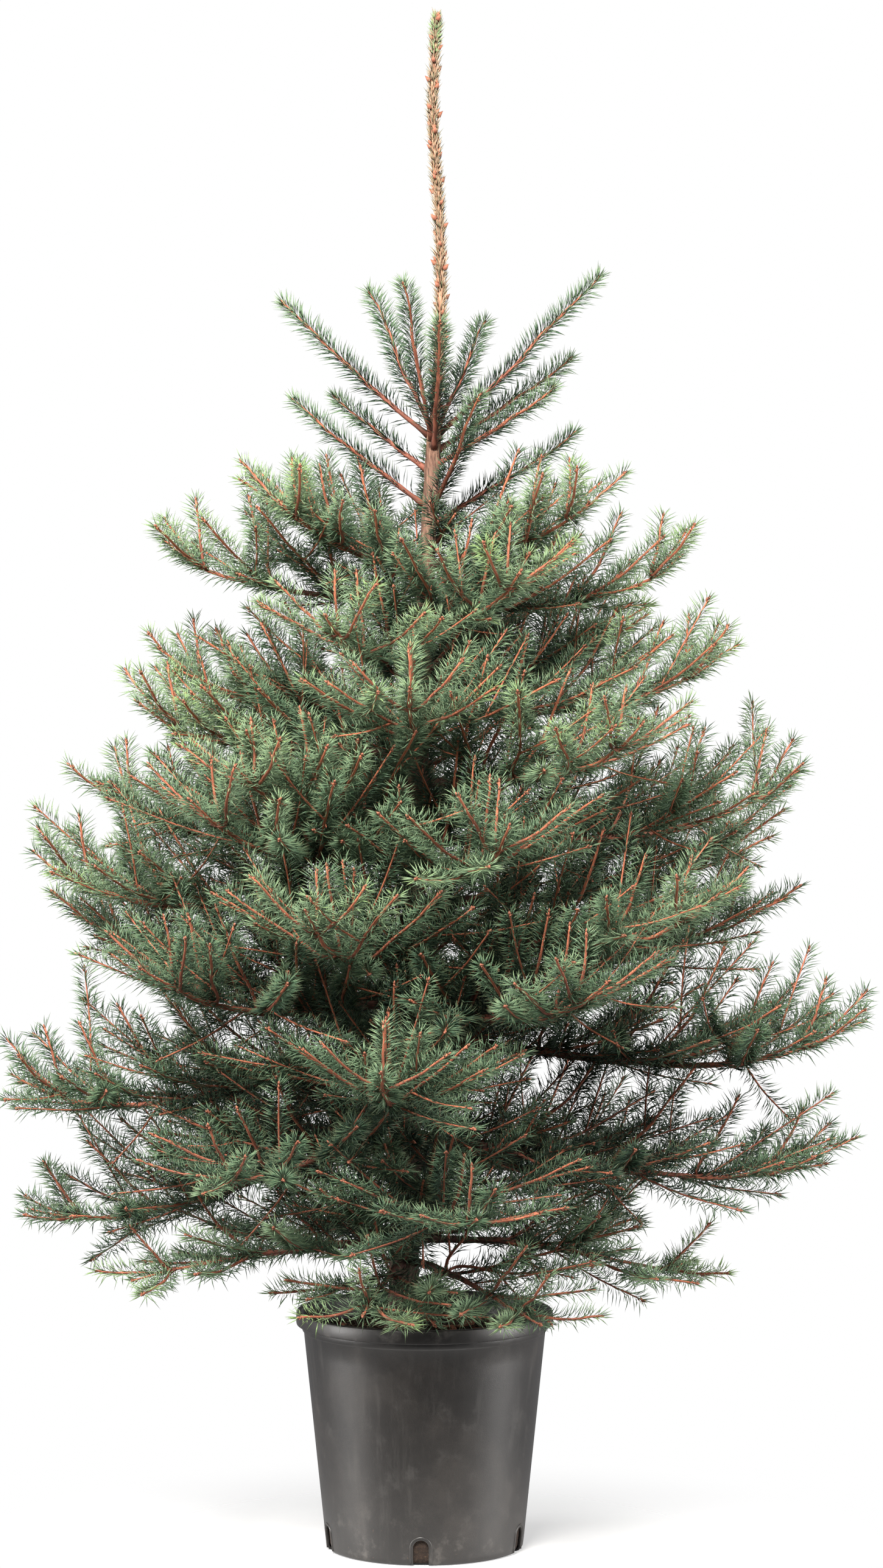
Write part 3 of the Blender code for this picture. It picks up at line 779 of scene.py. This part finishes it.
# %% Read the stem's rings
stem_mesh = welded(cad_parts["trunk"])
levels = {}
for vert in stem_mesh.verts:
    levels.setdefault(round(vert.co.z, 4), []).append(vert)
stem_rings = [levels[level] for level in sorted(levels) if len(levels[level]) > 4]
stem_line = np.array([middle(ring) for ring in stem_rings])
stem_radii = np.array([spread(ring) for ring in stem_rings])
stem_mesh.free()
SOIL_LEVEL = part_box("soil")[1].z
CROWN_LEVEL = max(bones[name][0][0][2] for name in bones)
print("the stem has", len(stem_rings), "rings; the crown is at", round(CROWN_LEVEL, 3), "m")

# %% Bark
STEM_SIDES = 20
STEM_STEP = 6.5 * MM


def make_stem():
    """The whole stem as one tube, swollen under each branch and rough all over."""
    line = smooth_line(stem_line, STEM_STEP)
    places = np.concatenate(([0], np.cumsum(np.linalg.norm(np.diff(stem_line, axis=0), axis=1))))
    radii = np.interp(np.linspace(0, places[-1], len(line)), places, stem_radii)
    stem = Shoot(line, radii, (0.5, 0.5), 1, across=(1.0, 0.0, 0.0))
    shape = tube(STEM_SIDES, len(line))
    ring = np.rint(shape.corners[:, 2] * (len(line) - 1)).astype(int)
    spoke = shape.corners[:, :1] * stem.side[ring] + shape.corners[:, 1:2] * stem.top[ring]
    corners = line[ring] + spoke * radii[ring][:, None]
    feet = np.array([bones[name][0][0] for name in bones])
    away = np.linalg.norm(corners[:, None, :] - feet[None, :, :], axis=2)
    size = 0.25 * np.interp(feet[:, 2], (SOIL_LEVEL, CROWN_LEVEL), (9 * MM, 5 * MM))
    swell = (size * np.exp(-(away / (8 * MM)) ** 2)).max(axis=1)
    rough = np.array([noise.noise(Vector((x * 260, y * 260, z * 90))) for x, y, z in corners])
    depth = np.interp(corners[:, 2], (SOIL_LEVEL, CROWN_LEVEL), (1.1 * MM, 0.35 * MM))
    corners += spoke * (swell + rough * depth)[:, None]
    heap = Heap()
    heap.add(corners[None], shape.faces, np.zeros((len(corners), 2)))
    settle(heap.piece("stem_bark", bark_finish(), marked=False), "bark", "trunk")
    return stem


def bark_finish():
    """Furrowed grey-brown bark that turns redder with height, and straw on the leader."""
    finish = Finish("stem_bark", 0.82)
    height = finish.axis(finish.place(), "Z")
    wear = finish.cloud(finish.stretched((1.0, 1.0, 0.16)), 260, 6, 0.70)
    furrow = finish.cloud(finish.stretched((1.0, 1.0, 0.12)), 420, 3, 0.55)
    cracks = finish.fade(furrow, 0.46, 0.36)
    young = finish.fade(height, 0.55, 1.15)
    leader = finish.fade(height, CROWN_LEVEL - 0.05, CROWN_LEVEL + 0.03)
    old = finish.ramp(wear, (0.28, (0.050, 0.034, 0.029)), (0.50, (0.125, 0.078, 0.060)),
                      (0.74, (0.260, 0.175, 0.135)))
    red = finish.ramp(wear, (0.30, (0.070, 0.036, 0.027)), (0.50, (0.190, 0.098, 0.066)),
                      (0.70, (0.390, 0.235, 0.165)))
    straw = finish.ramp(wear, (0.30, (0.150, 0.066, 0.038)), (0.50, (0.370, 0.190, 0.110)),
                        (0.70, (0.600, 0.410, 0.280)))
    colour = finish.mix(leader, finish.mix(young, old, red), straw)
    finish.set("Base Color", finish.mix(cracks * 0.72, colour, (0.045, 0.024, 0.018)))
    finish.bump(wear * 0.8 - cracks * 0.6, 0.8, 1.2 * MM)
    return finish


stem = make_stem()

# %% [markdown]
# ## Shoots between the whorls
# A spruce also sets short branches on the stem between its whorls. They never reach the outline,
# but they close the middle of the tree and hide the stem. They grow from the stem's line here, each
# with a few twigs, and make two pieces for the whole stem: their wood and their needles.

# %% Grow the stem's own shoots
STEM_SHOOTS = 80
LOWEST_SHOOT = SOIL_LEVEL + 0.05
HIGHEST_SHOOT = CROWN_LEVEL - 0.13
STEM_SHOOT_WOOD = (2.4 * MM, 1.3 * MM)


def make_stem_shoots():
    """Short branches all the way up the stem, with their twigs."""
    wood, needles, shoots = Heap(), Heap(), []
    for number in range(STEM_SHOOTS):
        share = (number + dice.uniform(0.2, 0.8)) / STEM_SHOOTS
        height = LOWEST_SHOOT + (HIGHEST_SHOOT - LOWEST_SHOOT) * share
        turn = number * GOLDEN + dice.normal(0, 0.3)
        out = np.array((math.cos(turn), math.sin(turn), 0.0))
        start = np.array([np.interp(height, stem.line[:, 2], stem.line[:, axis]) for axis in range(3)])
        length = dice.uniform(0.13, 0.25) * (1.15 - 0.55 * share)
        slope = math.radians(dice.uniform(8, 38))
        leaving = out * math.cos(slope) + UP * math.sin(slope)
        line = smooth_line([start, start + leaving * length * 0.5,
                            start + leaving * length + UP * length * 0.10], STEP)
        shoot = Shoot(wander(line, MAIN_WANDER, length), STEM_SHOOT_WOOD, (0.30, 0.80), 2)
        shoots += [shoot, *grow_twigs(shoot, 0.22, 0.80, 0.034, (0.045, 0.095), 0.10, 0.70)]
    for shoot in shoots:
        lay_tube(wood, shoot, TWIG_SIDES, 0.06)
        lay_bud(wood, shoot.line[-1] - shoot.along[-1] * 1.5 * MM, shoot.along[-1], shoot.side[-1], 6 * MM)
        # Their needles are darker close to the stem: older needles, and painted shade for the middle of the
        # tree.
        set_needles(needles, shoot, lambda place, part: 0.30 + 1.1 * np.hypot(place[:, 0], place[:, 1]),
                    lambda place, part: np.clip(0.8 - np.hypot(place[:, 0], place[:, 1]) / 0.05, 0.05, 1))
    settle(wood.piece("stem_shoots_wood", twig_bark), "foliage", "trunk")
    settle(needles.piece("stem_shoots_needles", needle_green), "foliage", "trunk")
    print(len(shoots), "shoots on the stem between the whorls")


make_stem_shoots()

# %% [markdown]
# ## The leader
# The leader is the shoot of the last year at the very top. Its pale needles lie close along it and
# point up, and dozens of brown buds stand out between them, each one a branch of next year. The
# longest bud is at its tip, in a tuft of short needles.

# %% Dress the leader
# Each spray of needles: how closed and how long it is, its tone, and the share that is missing.
LEADER_WOOD = (5.0 * MM, 2.4 * MM)
TUFT_WOOD = (2.6 * MM, 2.2 * MM)
LEADER_BUDS = 46
LEADER_SPRAYS = ((0.26, 0.76, 0.80, 0.05), (0.40, 0.74, 0.60, 0.10), (0.55, 0.66, 0.30, 0.35),
                 (0.80, 0.50, 0.45, 0.80))


def make_leader():
    """The leader's needles, the tuft at its tip, and its buds."""
    above = stem.line[:, 2] > CROWN_LEVEL + 0.012
    first = int(np.argmax(above))
    leader = Shoot(stem.line[first:], LEADER_WOOD, (0.8, 0.84), 2, across=(1.0, 0.0, 0.0))
    needles = Heap()
    for lean, length, tone, missing in LEADER_SPRAYS:
        set_needles(needles, leader, lambda place, part: tone + dice.normal(0, 0.12, len(part)),
                    even(missing), lean, length, parting=0.0)
    tuft = Shoot(leader.line[-8:], TUFT_WOOD, (0.8, 0.84), 2, across=(1.0, 0.0, 0.0))
    settle(needles.piece("leader_needles", needle_straw), "foliage", "trunk")
    crown = Heap()
    for _ in range(4):
        set_needles(crown, tuft, even(0.85), lambda place, part: 0.25 - 0.2 * part, 0.55, 0.62)
    settle(crown.piece("leader_tuft", needle_green), "foliage", "trunk")
    buds = Heap()
    for number in range(LEADER_BUDS):
        share = (number + 0.6 + dice.uniform(-0.3, 0.3)) / LEADER_BUDS
        turn = number * GOLDEN
        along = leader.at(share, leader.along)
        out = leader.at(share, leader.side) * math.cos(turn) + leader.at(share, leader.top) * math.sin(turn)
        place = leader.at(share, leader.line) + out * leader.at(share, leader.radii) * 0.8
        lay_bud(buds, place, unit(along * 0.9 + out), along + out * 0.1, dice.uniform(9.0, 12.5) * MM)
        if dice.uniform() < 0.5:
            lay_bud(buds, place + along * 4 * MM, unit(along * 1.5 + out), along + out * 0.1, 9 * MM)
    end = leader.line[-1]
    for turn in np.arange(4) * math.pi / 2:
        out = np.array((math.cos(turn), math.sin(turn), 0.0))
        lay_bud(buds, end - UP * 3 * MM, unit(UP + out * 0.6), out, 6.5 * MM)
    lay_bud(buds, end - UP * 2 * MM, UP, np.array((1.0, 0.0, 0.0)), 9 * MM)
    settle(buds.piece("leader_buds", twig_bark), "bark", "trunk")


make_leader()

# %% [markdown]
# ## The nursery pot
# The pot is one thin moulding of black plastic with a turned-over lip and arched slots round the
# foot, each with a raised band. Its section is drawn once and spun round the middle, because that
# keeps the wall evenly thin and the lip smooth. The slots are then cut by arched blocks.

# %% Measure the solid pot
pot_corners = np.array([tuple(vert.co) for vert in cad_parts["pot"].data.vertices])
FOOT = float(np.hypot(*pot_corners[pot_corners[:, 2] < 5 * MM][:, :2].T).max())
WALL = 2.2 * MM
LIP_DEPTH = 16 * MM
LIP_OVERHANG = 6.5 * MM
SLOTS = 5
SLOT_WIDTH = 18 * MM
SLOT_HEIGHT = 31 * MM
FIRST_SLOT = -92.0
BAND_RADIUS = 1.25 * MM
print("the pot is", round(RIM * 2, 4), "m across the rim and", round(FOOT * 2, 4), "m across the foot")


def wall(height):
    """The outer radius of the wall at a height."""
    return FOOT + (RIM - LIP_OVERHANG - FOOT) * height / RIM_TOP


# %% Spin the wall and the lip
POT_STEPS = 144


def pot_section():
    """The moulding's section as (radius, height), from under the floor round to its upper side."""
    lip = RIM_TOP - LIP_DEPTH
    outside = [(0, 1.4), (94, 1.4), (97, 0.4), (100, 0.0), (108, 0.0), (111, 0.5)]
    points = [(radius * MM, height * MM) for radius, height in outside]
    points += [(wall(0) - 1.3 * MM, 1.5 * MM), (wall(4 * MM) - 0.2 * MM, 4 * MM)]
    points += [(wall(height), height) for height in np.linspace(8 * MM, lip - 9 * MM, 12)]
    points += [(wall(lip) + 0.1 * MM, lip - 7.5 * MM), (wall(lip) + 0.9 * MM, lip - 6.5 * MM),
               (wall(lip) + 1.1 * MM, lip - 1.2 * MM), (wall(lip) + 2.0 * MM, lip - 0.2 * MM)]
    points += [(RIM - 1.6 * MM, lip + 0.1 * MM), (RIM - 0.5 * MM, lip + 0.8 * MM),
               (RIM - 0.1 * MM, lip + 2.4 * MM), (RIM, lip + 8 * MM), (RIM - 0.2 * MM, RIM_TOP - 2.6 * MM),
               (RIM - 0.9 * MM, RIM_TOP - 0.9 * MM), (RIM - 2.4 * MM, RIM_TOP - 0.1 * MM),
               (RIM - 5.0 * MM, RIM_TOP), (RIM - 7.0 * MM, RIM_TOP - 0.8 * MM),
               (wall(RIM_TOP) - WALL, RIM_TOP - 3.2 * MM)]
    points += [(wall(height) - WALL, height) for height in np.linspace(RIM_TOP - 10 * MM, 5 * MM, 8)]
    return points + [(wall(0) - WALL - 1.5 * MM, 3.0 * MM), (0, 2.8 * MM)]


def spun(section, steps):
    """A closed shape: a section spun once round the upright axis."""
    bm = bmesh.new()
    corners = [bm.verts.new((radius, 0, height)) for radius, height in section]
    edges = [bm.edges.new(pair) for pair in zip(corners, corners[1:])]
    bmesh.ops.spin(bm, geom=corners + edges, axis=(0, 0, 1), cent=(0, 0, 0), angle=2 * math.pi,
                   steps=steps, use_merge=True)
    bmesh.ops.remove_doubles(bm, verts=bm.verts, dist=WELD)
    bmesh.ops.recalc_face_normals(bm, faces=bm.faces)
    return bm


def arch(half, top, inner, outer, bearing):
    """An arched block that stands across the wall at one bearing."""
    bm = bmesh.new()
    bmesh.ops.create_circle(bm, cap_ends=True, segments=24, radius=half)
    bmesh.ops.bisect_plane(bm, geom=bm.verts[:] + bm.edges[:] + bm.faces[:], plane_co=(0, 0, 0),
                           plane_no=(0, 1, 0), dist=WELD, clear_inner=True)
    low = [edge for edge in bm.edges if all(abs(vert.co.y) < WELD for vert in edge.verts)]
    legs = bmesh.ops.extrude_edge_only(bm, edges=low)["geom"]
    feet = [item for item in legs if isinstance(item, bmesh.types.BMVert)]
    bmesh.ops.translate(bm, verts=feet, vec=(0, half - top - 3 * MM, 0))
    bmesh.ops.translate(bm, verts=bm.verts, vec=(0, top - half, 0))
    block = bmesh.ops.extrude_face_region(bm, geom=bm.faces[:])["geom"]
    bmesh.ops.translate(bm, verts=[item for item in block if isinstance(item, bmesh.types.BMVert)],
                        vec=(0, 0, outer - inner))
    upright = Matrix(((0, 0, 1), (1, 0, 0), (0, 1, 0))).to_4x4()
    place = Matrix.Rotation(math.radians(bearing), 4, "Z") @ Matrix.Translation((inner, 0, 0)) @ upright
    bmesh.ops.transform(bm, matrix=place, verts=bm.verts)
    bmesh.ops.recalc_face_normals(bm, faces=bm.faces)
    return bm


def cut(piece, bm):
    """Cut a shape out of a piece for good."""
    cutter = bpy.data.objects.new("cutter", mesh_of("cutter", bm))
    bpy.context.scene.collection.objects.link(cutter)
    boolean = piece.modifiers.new("cut", "BOOLEAN")
    boolean.operation, boolean.solver, boolean.object = "DIFFERENCE", "EXACT", cutter
    bpy.context.view_layer.update()
    done = bpy.data.meshes.new_from_object(piece.evaluated_get(bpy.context.evaluated_depsgraph_get()))
    piece.modifiers.remove(boolean)
    piece.data = done
    bpy.data.objects.remove(cutter)


# %% Black plastic
def plastic_finish():
    """Satin black plastic with dust, water marks, scuffs towards the foot and soil near the slots."""
    finish = Finish("pot_plastic", 0.42, Specular_IOR_Level=0.85)
    height = finish.axis(finish.place(), "Z")
    dust = finish.cloud(finish.place(), 9, 5, 0.62)
    streaks = finish.cloud(finish.stretched((1.0, 1.0, 0.10)), 70, 4, 0.6)
    grain = finish.cloud(finish.place(), 900, 2, 0.5)
    specks = finish.fade(finish.cloud(finish.place(), 230, 2, 0.5), 0.70, 0.76)
    foot = finish.fade(height, 0.085, 0.0)
    lip = finish.fade(height, 0.262, 0.266)
    worn = finish.fade(finish.cloud(finish.place(), 34, 6, 0.7), 0.52, 0.72)
    fine = finish.cloud(finish.place(), 1400, 2, 0.6)
    plain = finish.ramp(dust * 0.7 + fine * 0.3, (0.34, (0.007, 0.006, 0.005)),
                        (0.50, (0.013, 0.011, 0.0095)), (0.66, (0.034, 0.029, 0.025)))
    marked = finish.mix(finish.fade(streaks, 0.50, 0.78) * 0.20, plain, (0.090, 0.083, 0.074))
    scuffed = finish.mix(worn * (foot * 0.40 + lip * 0.34 + 0.05), marked, (0.150, 0.136, 0.122))
    finish.set("Base Color", finish.mix(specks * (foot * 0.7 + 0.04), scuffed, (0.075, 0.046, 0.030)))
    finish.set("Roughness", 0.36 + dust * 0.16 + worn * 0.14 + finish.fade(streaks, 0.5, 0.8) * 0.10)
    finish.bump(grain * 0.8 + worn * 0.3 + streaks * 0.2, 0.50, 0.20 * MM)
    return finish


black_plastic = plastic_finish()


# %% Make the pot and its slot bands
def make_pot():
    """The moulding with its slots cut, and a raised band round each slot."""
    shell = as_piece("pot_shell", mesh_of("pot_shell", spun(pot_section(), POT_STEPS)), black_plastic)
    for slot in range(SLOTS):
        bearing = FIRST_SLOT + 360 * slot / SLOTS
        cut(shell, arch(SLOT_WIDTH / 2, SLOT_HEIGHT, FOOT - 10 * MM, FOOT + 20 * MM, bearing))
    shell.data.shade_smooth()
    shell.data.set_sharp_from_angle(angle=math.radians(38))
    settle(shell, "pot_plastic", "pot")
    bands = Heap()
    for slot in range(SLOTS):
        bearing = math.radians(FIRST_SLOT + 360 * slot / SLOTS)
        half, top = SLOT_WIDTH / 2 + 3.2 * MM, SLOT_HEIGHT + 3.0 * MM
        turns = np.linspace(0, math.pi, 22)
        across = np.concatenate((np.full(7, half), half * np.cos(turns), np.full(7, -half)))
        climb = np.linspace(3 * MM, top - half, 7, endpoint=False)
        height = np.concatenate((climb, top - half + half * np.sin(turns), climb[::-1]))
        reach = np.sqrt((wall(height) - 0.25 * MM) ** 2 - across ** 2)
        spot = np.column_stack((reach * math.cos(bearing) - across * math.sin(bearing),
                                reach * math.sin(bearing) + across * math.cos(bearing), height))
        band = Shoot(spot, (BAND_RADIUS, BAND_RADIUS), (0.5, 0.5), 1,
                     across=(math.cos(bearing), math.sin(bearing), 0.0))
        lay_tube(bands, band, 8, 0.0)
    settle(bands.piece("pot_slot_bands", black_plastic, marked=False), "pot_plastic", "pot")
    return shell


shell = make_pot()
print("the pot has", len(shell.data.polygons), "faces")

# %% [markdown]
# ## The soil
# The root ball fills the pot to a few centimetres under the rim. Its top is dark compost with lumps,
# crumbs, chips of bark and old needles, and its brown, rooty side shows in the slots. The bed is one
# spun shape with a lumpy top; the loose matter is copies of a few small shapes scattered over it.

# %% The bed
SOIL_EDGE = wall(SOIL_LEVEL) - WALL - 0.4 * MM
BED_TOP = RIM_TOP - 28 * MM


def bed_height(x, y):
    """How high the compost lies at a place."""
    share = min(1.0, math.hypot(x, y) / SOIL_EDGE)
    lump = noise.noise(Vector((x * 34, y * 34, 0.4))) + 0.45 * noise.noise(Vector((x * 120, y * 120, 3.0)))
    return BED_TOP + (lump * 3.2 * MM + 2.0 * MM * (1 - share)) * (1 - share ** 6)


def make_bed():
    """The root ball, with its lumpy top."""
    section = [(0, 3.2 * MM), (wall(0) - WALL - 2.2 * MM, 3.2 * MM)]
    section += [(wall(height) - WALL - 0.5 * MM, height) for height in np.linspace(8 * MM, BED_TOP, 12)]
    section += [(SOIL_EDGE * share, BED_TOP) for share in np.linspace(0.985, 0, 44)]
    bm = spun(section, 120)
    for vert in bm.verts:
        if vert.co.z > BED_TOP - WELD:
            vert.co.z = bed_height(vert.co.x, vert.co.y)
        elif vert.co.z > 4 * MM:
            vert.co.xy *= 1 - 0.006 * (1 + noise.noise(Vector(vert.co) * 160))
    mesh = mesh_of("soil_bed", bm)
    mesh.shade_smooth()
    settle(as_piece("soil_bed", mesh, compost_finish()), "compost", "soil")


def compost_finish():
    """Dark damp compost with fibres and paler crumbs."""
    finish = Finish("compost", 0.93)
    crumbs = finish.cloud(finish.place(), 210, 6, 0.72)
    damp = finish.cloud(finish.place(), 26, 4, 0.6)
    fibres = finish.fade(finish.cloud(finish.stretched((1.0, 0.25, 1.0)), 420, 3, 0.6), 0.60, 0.72)
    brown = finish.ramp(crumbs, (0.30, (0.012, 0.008, 0.006)), (0.52, (0.040, 0.024, 0.016)),
                        (0.76, (0.110, 0.066, 0.042)))
    dark = finish.mix(finish.fade(damp, 0.42, 0.66) * 0.45, brown, (0.018, 0.012, 0.009))
    finish.set("Base Color", finish.mix(fibres * 0.45, dark, (0.190, 0.115, 0.065)))
    finish.bump(crumbs + fibres * 0.3, 0.9, 2.2 * MM)
    return finish


make_bed()

# %% Loose matter on the soil
def lump_shape(seed):
    """A rough crumb, one unit across."""
    bm = bmesh.new()
    bmesh.ops.create_icosphere(bm, subdivisions=1, radius=0.5)
    for vert in bm.verts:
        vert.co *= 1 + 0.45 * noise.noise(vert.co * 2.3 + Vector((seed, 0, 0)))
    return Template(bm)


def chip_shape(seed):
    """A flat splinter of bark, one unit long, with broken ends."""
    bm = bmesh.new()
    bmesh.ops.create_cube(bm, size=1)
    bmesh.ops.scale(bm, vec=(1, 0.45, 0.14), verts=bm.verts)
    bmesh.ops.subdivide_edges(bm, edges=bm.edges, cuts=1, use_grid_fill=True)
    for vert in bm.verts:
        vert.co *= 1 + 0.5 * noise.noise(vert.co * 3.1 + Vector((seed, 5, 0)))
    return Template(bm)


def lying_needle():
    """A dead needle on its side, one unit long."""
    bm = bmesh.new()
    bmesh.ops.create_cone(bm, cap_ends=True, segments=3, radius1=0.035, radius2=0.012, depth=1)
    bmesh.ops.rotate(bm, verts=bm.verts, matrix=Matrix.Rotation(math.pi / 2, 3, "Y"))
    return Template(bm)


def scatter(heap, shapes, count, sizes, tones, steep):
    """Drop copies of shapes on the bed, each turned its own way."""
    for number in range(count):
        shape = shapes[number % len(shapes)]
        size = dice.uniform(*sizes)
        out = (SOIL_EDGE - 0.75 * size) * math.sqrt(dice.uniform(0.03, 1))
        turn = dice.uniform(0, 2 * math.pi)
        x, y = out * math.cos(turn), out * math.sin(turn)
        tilt = dice.normal(0, 0.35 * steep, 2)
        spin = Matrix.Rotation(dice.uniform(0, 2 * math.pi), 3, "Z")
        way = np.array(Matrix.Rotation(tilt[0], 3, "X") @ Matrix.Rotation(tilt[1], 3, "Y") @ spin)
        corners = (shape.corners * size) @ way.T + (x, y, bed_height(x, y) + size * 0.10)
        tone = np.full(len(corners), dice.uniform(*tones))
        wobble = 0.5 + 0.4 * shape.corners[:, 0]
        heap.add(corners[None], shape.faces, np.column_stack((wobble, tone + 0.02 * shape.corners[:, 1])))


def litter_finish():
    """Crumbs, then bark, then dead needles, by tone."""
    finish = Finish("soil_litter", 0.90)
    colour = finish.ramp(finish.mark("Y"), (0.0, (0.013, 0.009, 0.007)), (0.38, (0.062, 0.038, 0.025)),
                         (0.45, (0.120, 0.052, 0.032)), (0.72, (0.300, 0.120, 0.065)),
                         (0.80, (0.190, 0.115, 0.060)), (1.0, (0.360, 0.235, 0.120)))
    shade = finish.fade(finish.mark("X"), 0.2, 0.8) * 0.3
    finish.set("Base Color", finish.mix(shade, colour, (0.020, 0.014, 0.010)))
    return finish


soil_litter = litter_finish()
SEEDS = (1.0, 2.0, 3.0)
lumps, flakes = ([shape(seed) for seed in SEEDS] for shape in (lump_shape, chip_shape))
for name, slot, shapes, count, sizes, tones, tilt in (
        ("soil_crumbs", "compost", lumps, 900, (2 * MM, 7.5 * MM), (0.02, 0.38), 3),
        ("bark_chips", "bark", flakes, 90, (7 * MM, 20 * MM), (0.42, 0.74), 0.5),
        ("fallen_needles", "foliage", [lying_needle()], 420, (11 * MM, 17 * MM), (0.82, 0.97), 0.3)):
    litter = Heap()
    scatter(litter, shapes, count, sizes, tones, tilt)
    settle(litter.piece(name, soil_litter, smooth=name == "fallen_needles"), slot, "soil")

# %% [markdown]
# ## Daylight and a pale floor
# The tree stands in an even, bright studio. A large soft lamp high on the left of the camera gives
# the needles their lit tops, and two upright ones at the sides draw the soft edges on the black pot.
# The room behind the tree is seen as white but lights it a third as much, and the side of the
# camera is dark, so the middle of the tree stays deep. The floor is a pale disc that fades out
# towards its edge, so that it draws no line.

# %% The room
ROOM_DARK = (0.04, 0.043, 0.05)
ROOM_BACK = (0.34, 0.34, 0.35)
ROOM_SEEN = (1.0, 1.0, 1.0)

world = bpy.data.worlds.new("studio")
bpy.context.scene.world = world
world.use_nodes = True
room = Nodes(world.node_tree)
depth = room.axis(room.node("ShaderNodeTexCoord", output="Generated"), "Y")
around = room.mix(room.fade(depth, -0.9, 0.1), ROOM_DARK, ROOM_BACK)
seen = room.node("ShaderNodeLightPath", output="Is Camera Ray")
room.join(room.tree.nodes["Background"].inputs["Color"], room.mix(seen, around, ROOM_SEEN))
bpy.context.scene.view_settings.view_transform = "Standard"


# %% The lamps
def softbox(name, place, aim, size, power, colour):
    """A rectangular lamp that points at a place."""
    light = bpy.data.lights.new(name, "AREA")
    light.shape = "RECTANGLE"
    light.size, light.size_y = size
    light.energy = power
    light.color = colour
    made = bpy.data.objects.new(name, light)
    made.location = place
    made.rotation_euler = (Vector(aim) - Vector(place)).to_track_quat("-Z", "Y").to_euler()
    bpy.context.scene.collection.objects.link(made)


softbox("key", (-0.8, -3.4, 4.0), (0, 0, 0.9), (1.5, 1.5), 600, (1.0, 0.97, 0.93))
for name, side in (("left", -1), ("right", 1)):
    softbox(name, (3.0 * side, -0.6, 0.8), (0, 0, 0.5), (1.2, 2.4), 105, (1.0, 0.98, 0.96))

# %% The floor
FLOOR_RADIUS = 0.9
FLOOR_STRENGTH = 0.55


def make_floor():
    """A pale disc that carries the pot's shadow and fades out around it."""
    bm = bmesh.new()
    bmesh.ops.create_circle(bm, cap_ends=True, segments=96, radius=FLOOR_RADIUS)
    finish = Finish("floor", 0.7)
    place = finish.place()
    out = finish.node("ShaderNodeVectorMath", {"operation": "LENGTH"}, [place], output="Value")
    finish.set("Base Color", finish.ramp(finish.cloud(place, 3, 3, 0.5), (0.3, (0.86, 0.86, 0.86)),
                                         (0.7, (0.90, 0.90, 0.90))))
    finish.set("Alpha", finish.fade(out, FLOOR_RADIUS * 0.62, FLOOR_RADIUS * 0.14) * FLOOR_STRENGTH)
    as_piece("floor", mesh_of("floor", bm), finish)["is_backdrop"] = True


make_floor()

# %% The camera
CAMERA_PLACE = (0.0197, -6.782, 1.405)
CAMERA_DOWN = 0.07497

camera = bpy.data.objects.new("camera", bpy.data.cameras.new("camera"))
camera.data.sensor_fit = "VERTICAL"
camera.data.sensor_height = 24
camera.data.lens = 89.72
camera.location = CAMERA_PLACE
camera.rotation_euler = (math.pi / 2 - CAMERA_DOWN, 0, 0)
bpy.context.scene.collection.objects.link(camera)
bpy.context.scene.camera = camera

# %% Gather both sizes and finish
last_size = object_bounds()
sizes = {"cad": [list(corner) for corner in first_size], "visual": [list(corner) for corner in last_size]}
